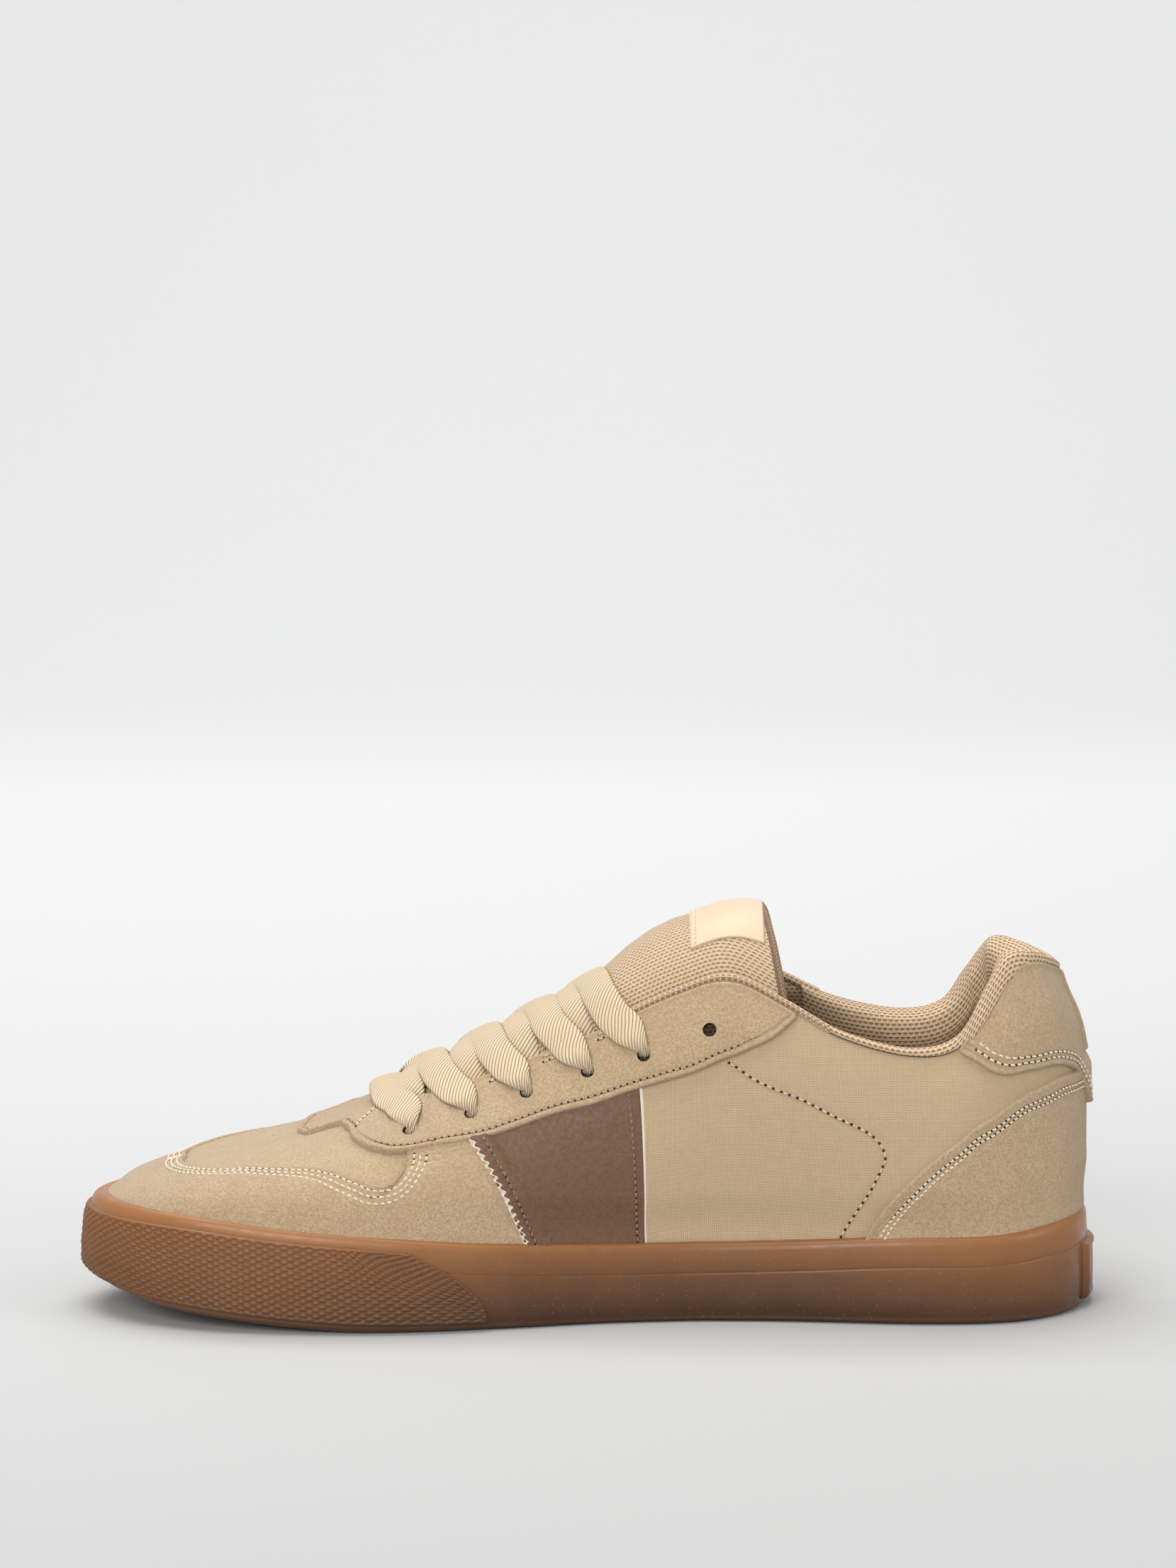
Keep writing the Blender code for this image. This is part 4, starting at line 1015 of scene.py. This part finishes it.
def make_collar_pad():
    place = np.linspace(12.45, TURN - 12.45, 250)
    turn = np.minimum(place, TURN - place)
    edge, normal, climb = upper_rim(place)
    length = gaps_along(upper_skin(place[:, None], np.linspace(0, 1, 9)[None]), 1)[:, -1]
    tall = np.interp(turn, (12.45, 14, 15.2, 16.2, 16.9, 17.8, 20), (2.4, 2.6, 4.2, 6.0, 5.6, 3.4, 2.7))
    tall = tall * np.where(place < HEEL, 1, 0.8 + 0.2 * ease((turn - 18) / 2))
    deep = 0.25 + 0.75 * ease((turn - 12.2) / 2.2)
    fold = ease((turn - 14.9) / 0.9) * (0.35 + 0.65 * ease((18.4 - turn) / 2))
    bulge = 1.2 + 1.4 * fold + 0.5 * ease(turn - 18)
    low = 0.2 - 3.0 * fold
    against = [upper_at(place, 1 - down / length, -inward)
               for down, inward in ((24, 2.2), (12, 2.2), (1.5, 2.0))]
    over = [(0.2, 1.0), (0.2, -0.5 - fold), (low, -0.6 - fold), (0.3 + low, -bulge * 0.8),
            (0.4 * low + 0.26 * tall, -bulge), (0.62 * tall, -bulge * 0.9), (0.9 * tall, -0.3), (tall, 1.4),
            (0.97 * tall, 2.2 + 1.9 * deep), (0.6 * tall, 2.2 + 4.9 * deep)]
    over = [edge + climb * np.reshape(rise, (-1, 1)) - normal * np.reshape(inward, (-1, 1))
            for rise, inward in over]
    inside = [upper_at(place, 1 - down / length, -2.2 - thick * deep)
              for down, thick in ((2, 6.8), (8, 7.4), (18, 5.2), (25, 0.8))]
    ring = np.stack(against + over + inside, 1)
    count = ring.shape[1]
    fine = []
    for k in range(count):
        four = [ring[:, (k + j) % count] for j in (-1, 0, 1, 2)]
        fine += [curve_between(*four, t) for t in np.linspace(0, 1, 5, endpoint=False)]
    ring = np.stack(fine, 1)
    round_roll = gaps_along(ring, 1)
    round_roll -= round_roll[:, 50:51]
    lay = np.stack((np.broadcast_to(gaps_along(edge[:, None], 0), ring.shape[:2]), round_roll), -1)
    faces = grid_faces(len(place), ring.shape[1], True).tolist()
    faces += end_faces(len(place), ring.shape[1])
    pad = dress("collar_roll", ring, faces, lay, LINING_MESH, ["collar_pad"])


def bind_collar(side):
    place = np.linspace(9.36, 12.8, 130)
    if side == "outer":
        place = TURN - place
    edge, normal, climb = upper_rim(place)
    tube("collar_binding_" + side, edge + climb * 1.1 - normal * 0.35, normal, climb, 1.55, 1.3,
         LINING_MESH, "mesh_fabric", around=18)


make_collar_pad()
for side in ("inner", "outer"):
    bind_collar(side)


# Insole
# A foam footbed with a cloth top, on the cup's floor.
FOOTBED = weave("footbed cloth", dye(196, 168, 130), dye(150, 122, 90), 0.7)


def make_insole():
    place = np.linspace(0, TURN, 240, endpoint=False)
    s = ring_at(place)[:, 0]
    rings = []
    for rise, inset in ((0.3, 0.6), (0.8, 0.05), (2.0, 0), (3.4, 0), (3.9, 0.25), (4.2, 0.8), (4.3, 1.6),
                        (4.3, 3.0)):
        level = outline(place, wall_inset(s) + 3.2 + inset)
        rings.append(np.column_stack((level, cup_floor(s) + rise)))
    top = cross_over(rings[-1], 40)
    bottom = cross_over(rings[0], 4)
    points = np.vstack(rings)
    faces = grid_faces(len(rings), 240, True).tolist()
    lay = points[:, :2]
    count = len(points)
    for sheet in (top, bottom):
        faces += (grid_faces(*sheet.shape[:2], False) + count).tolist()
        lay = np.vstack((lay, sheet.reshape(-1, 3)[:, :2]))
        points = np.vstack((points, sheet.reshape(-1, 3)))
        count = len(points)
    dress("footbed", points, faces, lay, FOOTBED, ["insole"])


def cross_over(ring, rows):
    """A sheet from one side of a closed ring to the other, from toe to heel"""
    half = len(ring) // 2
    inner = ring[:half + 1]
    outer = np.vstack((ring[:1], ring[:half - 1:-1]))
    share = np.linspace(0, 1, rows + 1)[None, :, None]
    return inner[:, None] + (outer - inner)[:, None] * share


make_insole()


# Cup sole
# Moulded gum rubber: a tread with a zigzag grip, and a wall that rises round the upper. A bright
# smooth band runs round the top of the wall, above a fine moulded line.
SOLE_WALL = [(0.100, 0.230, 0.00), (0.030, 0.130, 0.05), (0.000, 0.040, 0.18), (0.000, 0.000, 0.40),
             (0.008, 0.025, 0.72), (0.008, 0.028, 0.74), (0.020, 0.075, 0.93), (0.045, 0.115, 1.00)]


def gum_rubber(name, rough, deep, pale):
    finish = Finish(name, pale, rough, coat_weight=0.1, coat_roughness=0.25, specular_ior_level=0.35)
    # Darker towards the bottom of the wall: partly the rubber's own two tones, a pale thin band over the
    # upper and a darker outsole, and partly painted shade on the lower wall.
    height = finish.place()[2]
    cloud = finish.mottle(14.0, 3.0, 0.6, 0.3, 0.7)
    rubber_tone_and_shade = finish.step("MapRange", finish.sum("ADD", height, finish.sum("MULTIPLY", cloud, 0.002)),
                        0.004, 0.029, 0.0, 1.0)
    ramp = finish.blend(rubber_tone_and_shade, deep, pale)
    # The lower wall round the waist is painted darker still: painted shade under the arch.
    middle = finish.sum("ABSOLUTE", finish.sum("SUBTRACT", finish.place()[0], 0.03))
    middle = finish.step("MapRange", middle, 0.04, 0.12, 0.7, 0.0)
    waist_shade = finish.sum("MULTIPLY", middle, finish.sum("SUBTRACT", 1.0, rubber_tone_and_shade))
    ramp = finish.blend(waist_shade, ramp, dye(56, 33, 20))
    specks = finish.mottle(0.7, 1.0, 0.5, 0.67, 0.75)
    finish.colour(finish.blend(finish.sum("MULTIPLY", specks, 0.2), ramp, dye(180, 134, 96)))
    finish.gloss(finish.step("MapRange", finish.mottle(5.0), 0.0, 1.0, rough - 0.06, rough + 0.1))
    finish.relief(finish.mottle(1.5, 3.0, 0.6, 0.3, 0.7), 0.05, 0.25)
    return finish.material


GUM_WALL = gum_rubber("gum rubber wall", 0.36, dye(86, 53, 29), dye(151, 101, 59))
GUM_GRIP = gum_rubber("gum rubber grip", 0.5, dye(102, 67, 38), dye(128, 84, 48))


def sole_skin(place, share, out=0.0):
    """Points off the sole's outer wall: ring place and share of its height"""
    place, share = np.broadcast_arrays(np.asarray(place, float), np.asarray(share, float))
    s = ring_at(place)[..., 0]
    heights = [row[2] for row in SOLE_WALL]
    side = np.interp(share, heights, [row[0] for row in SOLE_WALL])
    toe = np.interp(share, heights, [row[1] for row in SOLE_WALL])
    level = outline(place, FOXING_HEIGHT * (side + (toe - side) * toe_share(s)) - out)
    height = tread_height(s) + share * (foxing_height(s) - tread_height(s))
    return np.concatenate((level, height[..., None]), -1)


def make_sole():
    count = 540
    place = np.linspace(0, TURN, count, endpoint=False)
    s = ring_at(place)[:, 0]
    tall = foxing_height(s) - tread_height(s)
    rings = []
    for share, out in ((0.0, -0.4), (0.018, 0.0), (0.05, 0.25), (0.085, 0.3), (0.105, 0.05), (0.17, 0.0),
                       (0.28, 0), (0.42, 0), (0.56, 0), (0.7, 0), (0.84, 0), (0.95, 0)):
        rings.append(sole_skin(place, share * (1 - 9.6 / tall), out))
    for below, out in ((9.3, 0.0), (9.05, -0.02), (8.9, -0.16), (8.7, -0.18), (8.5, -0.04), (8.1, 0.0),
                       (6, 0), (4.0, 0), (2.6, 0), (1.6, 0.0), (0.9, -0.1), (0.4, -0.35), (0.1, -0.75),
                       (0.0, -1.2)):
        rings.append(sole_skin(place, 1 - below / tall, out))
    lip = foxing_line(place, 0.0)
    meet = upper_at(place, lip[:, 1], -0.4)
    outer = rings[-1]
    for share, drop in ((0.35, 0.0), (0.75, 0.25), (1.0, 0.8)):
        spot = outer + (meet - outer) * share
        spot[:, 2] = foxing_height(s) - drop
        rings.append(spot)
    rings.append(np.column_stack((outline(place, wall_inset(s)), foxing_height(s) - 6)))
    rings.append(np.column_stack((outline(place, wall_inset(s)), cup_floor(s))))
    wall = np.stack(rings, 1)
    points = wall.reshape(-1, 3)
    run = np.broadcast_to(gaps_along(wall[:, 10:11], 0), wall.shape[:2])
    lay = np.stack((run, gaps_along(wall, 1)), -1).reshape(-1, 2)
    index = np.arange(len(points)).reshape(count, -1)
    index = np.vstack((index, index[:1]))
    faces = np.stack((index[:-1, :-1], index[:-1, 1:], index[1:, 1:], index[1:, :-1]), -1)
    faces = faces.reshape(-1, 4).tolist()
    for ring, rows, grip in ((rings[0], 64, True), (rings[-1], 6, False)):
        sheet = cross_over(ring, rows).copy()
        if grip:
            x, y = sheet[..., 0], sheet[..., 1]
            wave = x + 3.2 * np.abs(((y / 12.0) % 1) - 0.5) * 4
            groove = np.clip(np.cos(wave * 2 * math.pi / 6.4) * 2.2 - 0.8, 0, 1)
            rim = np.minimum(gaps_along(sheet, 1), gaps_along(sheet[:, ::-1], 1)[:, ::-1])
            sheet[..., 2] += 1.3 * groove * ease((rim - 5) / 3)
        first = len(points)
        faces += (grid_faces(*sheet.shape[:2], False) + first).tolist()
        points = np.vstack((points, sheet.reshape(-1, 3)))
        lay = np.vstack((lay, sheet.reshape(-1, 3)[:, :2]))
    dress("cup_sole", points, faces, lay, GUM_WALL, ["sole"])


make_sole()


# Toe bumper and heel plate
# The toe bumper is a strip of the same rubber moulded with small raised diamonds for board grip. The
# heel plate is a smooth raised plate with a thin rim round it.
def make_bumper():
    place = np.linspace(-7.73, 7.73, 560)[:, None]
    rise = np.linspace(0, 1, 84)[None]
    s = ring_at(place)[..., 0]
    tall = foxing_height(s) - tread_height(s)
    top = 1 - 3.3 / tall
    share = 0.10 + (top - 0.10) * rise
    slant = 0.95 * rise ** 2.2 * ease((np.abs(place) - 5.6) / 2.1)
    place = place - np.sign(place) * slant
    base = sole_skin(place, share, 0.0)
    run = gaps_along(base[:, 42:43], 0)
    climb = gaps_along(base, 1)
    from_edge, from_end = np.minimum(climb, climb[:, -1:] - climb), np.minimum(run, run[-1:] - run)
    body = rounded(from_edge / 0.7) * rounded(from_end / 0.7)
    first, second = run / 3.65 + climb / 2.0, run / 3.65 - climb / 2.0
    ridge = np.minimum(np.abs(first % 1 - 0.5), np.abs(second % 1 - 0.5)) * 2
    inside = ease((from_edge - 0.5) / 0.6) * ease((from_end - 0.5) / 0.6)
    diamond = (0.75 * ease(ridge * 1.5) - 0.6) * inside
    bulge = 1.1 * toe_share(s) ** 2 * np.exp(-((share - 0.2) / 0.12) ** 2)
    out = 0.3 + body * (1.0 + diamond + bulge)
    front = sole_skin(place, share, out)
    lay = np.stack((np.broadcast_to(run, front.shape[:2]), climb), -1)
    back = sole_skin(place, share, -0.4)
    slab("toe_bumper_rubber", front, back, lay, GUM_GRIP, ["toe_bumper"])


def make_heel_plate():
    place = np.linspace(HEEL - 1.02, HEEL + 1.02, 70)[:, None]
    share = np.linspace(0.10, 0.68, 44)[None]
    base = sole_skin(place, share, 0.0)
    run, climb = gaps_along(base, 0), gaps_along(base, 1)
    reach = np.minimum(np.minimum(run, run[-1:] - run), np.minimum(climb, climb[:, -1:] - climb))
    body = rounded(reach / 0.8)
    frame_rim = 0.45 * np.exp(-((reach - 1.0) / 0.55) ** 2)
    front = sole_skin(place, share, 0.3 + body * 1.3 + frame_rim)
    lay = np.stack((np.broadcast_to(run, front.shape[:2]), np.broadcast_to(climb, front.shape[:2])), -1)
    back = sole_skin(place, share, -0.4)
    slab("heel_plate_rubber", front, back, lay, GUM_WALL, ["heel_plate"])


make_bumper()
make_heel_plate()


# Laces
# A flat twill lace, one straight bar at the bottom and then crossings. Each strap gathers as it dives
# into its hole, runs up under the lace panel and comes out over the tongue to the next hole opposite.
LACE_WIDTH, LACE_THICKNESS = 10.8, 1.2


def twill(name, yarn, gap):
    finish = Finish(name, yarn, 0.85, sheen_weight=0.2, specular_ior_level=0.2)
    u, v = finish.lie()
    slope = finish.sum("ADD", finish.sum("MULTIPLY", u, 0.70), finish.sum("MULTIPLY", v, 0.714))
    cord = finish.sum("ABSOLUTE", finish.sum("SINE", finish.sum("MULTIPLY", slope, math.pi / 1.05)))
    cross = finish.sum("SUBTRACT", finish.sum("MULTIPLY", u, 0.714), finish.sum("MULTIPLY", v, 0.70))
    bead = finish.sum("ABSOLUTE", finish.sum("SINE", finish.sum("MULTIPLY", cross, math.pi / 0.62)))
    # The grooves between the cords take the dark gap colour, a painted shade, and the yarn beads are shaded a
    # little towards it.
    solid = finish.step("MapRange", cord, 0.05, 0.42, 0.0, 1.0)
    colour = finish.blend(solid, gap, yarn)
    finish.colour(finish.blend(finish.sum("MULTIPLY", bead, 0.12), colour, gap))
    finish.relief(finish.sum("ADD", cord, finish.sum("MULTIPLY", bead, 0.15)), 0.4, 0.9)
    return finish.material


TWILL = twill("lace twill", dye(222, 200, 165), dye(108, 80, 52))


def strap(name, knots, nodes=()):
    """A flat lace along knots of point, outward direction and whether it is in a hole there"""
    spots = np.array([k[0] for k in knots])
    ups = np.array([k[1] for k in knots])
    run = gaps_along(spots[:, None], 0)[:, 0]
    count = int(run[-1] / 0.5)
    t = np.linspace(0, run[-1], count)
    k = np.clip(np.searchsorted(run, t) - 1, 0, len(run) - 2)
    share = ((t - run[k]) / (run[k + 1] - run[k]))[:, None]

    def through(values):
        steps = np.diff(run)[:, None]
        slopes = np.diff(values, axis=0) / steps
        bends = (slopes[:-1] * steps[1:] + slopes[1:] * steps[:-1]) / (steps[:-1] + steps[1:])
        bends = np.vstack((slopes[:1], bends, slopes[-1:]))
        start, end, gap = values[k], values[k + 1], steps[k]
        return (start * (1 + 2 * share) * (1 - share) ** 2 + end * (3 - 2 * share) * share ** 2
                + gap * (bends[k] * share * (1 - share) ** 2 - bends[k + 1] * (1 - share) * share ** 2))

    spine = through(spots)
    up = unit(through(ups))
    ahead = unit(np.gradient(spine, axis=0))
    side = unit(np.cross(ahead, up))
    up = np.cross(side, ahead)
    holes = run[[knot[2] for knot in knots]]
    free = np.clip(np.abs(t[:, None] - holes[None]).min(1) / 10.0, 0, 1)[:, None]
    wide = LACE_WIDTH / 2 * (0.22 + 0.78 * np.sin(free * math.pi / 2) ** 0.9)
    bend = 0.3 + 0.7 * (1 - ease(free * 1.2))
    across = np.linspace(-1, 1, 21)
    angle = bend * across[None]
    radius = wide / np.sin(bend)
    pleat = 0.2 * (1 - free) ** 2 * np.cos(across * 11)[None]
    level = radius * np.sin(angle)
    lift = radius * (np.cos(angle) - 1 + (1 - np.cos(bend)) * (1 - ease(free))) + pleat
    middle = spine[:, None] + side[:, None] * level[..., None] + up[:, None] * lift[..., None]
    facing = side[:, None] * np.sin(angle)[..., None] + up[:, None] * np.cos(angle)[..., None]
    half = LACE_THICKNESS / 2 * np.sqrt(1 - np.abs(across) ** 5)
    front = middle + facing * half[None, :, None]
    back = middle - facing * half[None, :, None]
    lay = np.stack(np.broadcast_arrays(t[:, None], across[None] * LACE_WIDTH / 2), -1)
    return slab(name, front, back, lay, TWILL, nodes, back_columns=9)


def side_of(place, outer):
    return TURN - place if outer else place


def nearest_spot(point, outer):
    """The place and climb on the lace panel that lie nearest to a point"""
    place = side_of(np.linspace(3.5, 10.5, 211), outer)[:, None]
    climb = np.linspace(0.7, 0.995, 60)[None]
    gap = np.linalg.norm(upper_skin(place, climb) - point, axis=-1)
    k, j = np.unravel_index(gap.argmin(), gap.shape)
    return place[k, 0], climb[0, j]


def hole_knots(eyelet, outer, start):
    """The end of a strap: straight down the lace panel and into its hole"""
    place, up = EYELETS[eyelet]
    place = side_of(place, outer)
    down = unit(upper_skin(place, up - 0.03) - upper_skin(place, up))
    mouth = upper_at(place, up + 0.03, 2.0)
    knots = []
    for share, out in ((0.42, 3.2), (0.64, 3.4), (0.84, 3.1)):
        spot = nearest_spot(start + (mouth - start) * share, outer)
        knots.append((upper_at(*spot, out), upper_normal(*spot), False))
    for climb, out, tip in ((0.026, 1.4, 1.6), (0.014, -1.2, 9.0), (0.012, -3.4, 9.0)):
        knots.append((upper_at(place, up + climb, out), unit(upper_normal(place, up) + tip * down), True))
    return knots


def start_knots(eyelet, outer):
    """The start of a strap: up from its hole, behind the lace panel, to the edge of the throat"""
    place, up = EYELETS[eyelet]
    knots = []
    for climb, lean, out, hole in ((up + 0.02, 0.0, -3.4, True), (0.93, 0.1, -3.2, False)):
        spot = side_of(place - lean, outer)
        knots.append((upper_at(spot, climb, out), upper_normal(spot, climb), hole))
    return knots


# Where each pair of straps lies on the tongue: at the edge where the lower strap comes out, on the
# ridge, then down the side of the upper strap
PAIRS = [(4.98, 4.98, 5.28, 5.97, 6.33), (6.95, 6.90, 6.89, 7.22, 7.44),
         (7.88, 7.82, 7.75, 8.11, 8.30), (8.66, 8.58, 8.51, 8.79, 9.00)]
UNDER_HEIGHTS = (4.4, 3.1, 2.0, 1.4)
OVER_HEIGHTS = ((4.6, 3.7, 3.4), (3.6, 3.4, 3.3), (2.5, 2.6, 3.0), (1.7, 2.1, 2.8))


def crossing(pair, outer):
    """From the hole on one side over the tongue to the next hole on the other side"""
    low, low_mid, low_ridge, ridge, high_mid = PAIRS[pair]
    under, (over, over_side, over_edge) = UNDER_HEIGHTS[pair], OVER_HEIGHTS[pair]
    if outer:
        route = ((-0.66, low, 0.9), (-0.35, low_mid, 0.8 + 0.5 * under), (0.02, low_ridge, under),
                 (0.27, (low_ridge + high_mid) / 2, under + 0.5), (0.48, high_mid, 3.1))
    else:
        route = ((0.66, low, 0.9), (0.46, (low + low_mid) / 2, 2.6),
                 (0.27, (low_mid + ridge) / 2, under + 1.2), (0.08, ridge, over),
                 (-0.2, (ridge + high_mid) / 2, over_side), (-0.44, high_mid, over_edge))
    knots = start_knots(pair, not outer)
    for across, place, out in route:
        knots.append((tongue_at(place, across, out), tongue_normal(place, across), False))
    knots += hole_knots(pair + 1, outer, knots[-1][0])
    if outer:
        strap("lace_out_%d" % (pair + 1), knots, ["lace_cross_%d" % (pair + 1)])
    else:
        strap("lace_in_%d" % (pair + 1), knots)


def straight_bar():
    """The first strap goes straight over the front of the throat"""
    middle = (upper_at(3.2, 1.0) + upper_at(-3.2, 1.0))[1] / 2
    near = hole_knots(0, False, np.array((209.6, middle, 66.4)))
    far = [(point * (1, -1, 1) + (0, 2 * middle, 0), normal * (1, -1, 1), hole)
           for point, normal, hole in near]
    top = (np.array((209.6, middle, 66.4)), np.array((0.25, 0.0, 0.97)), False)
    strap("lace_straight", far[::-1] + [top] + near, ["lace_bar"])


straight_bar()
for pair in range(4):
    crossing(pair, True)
    crossing(pair, False)
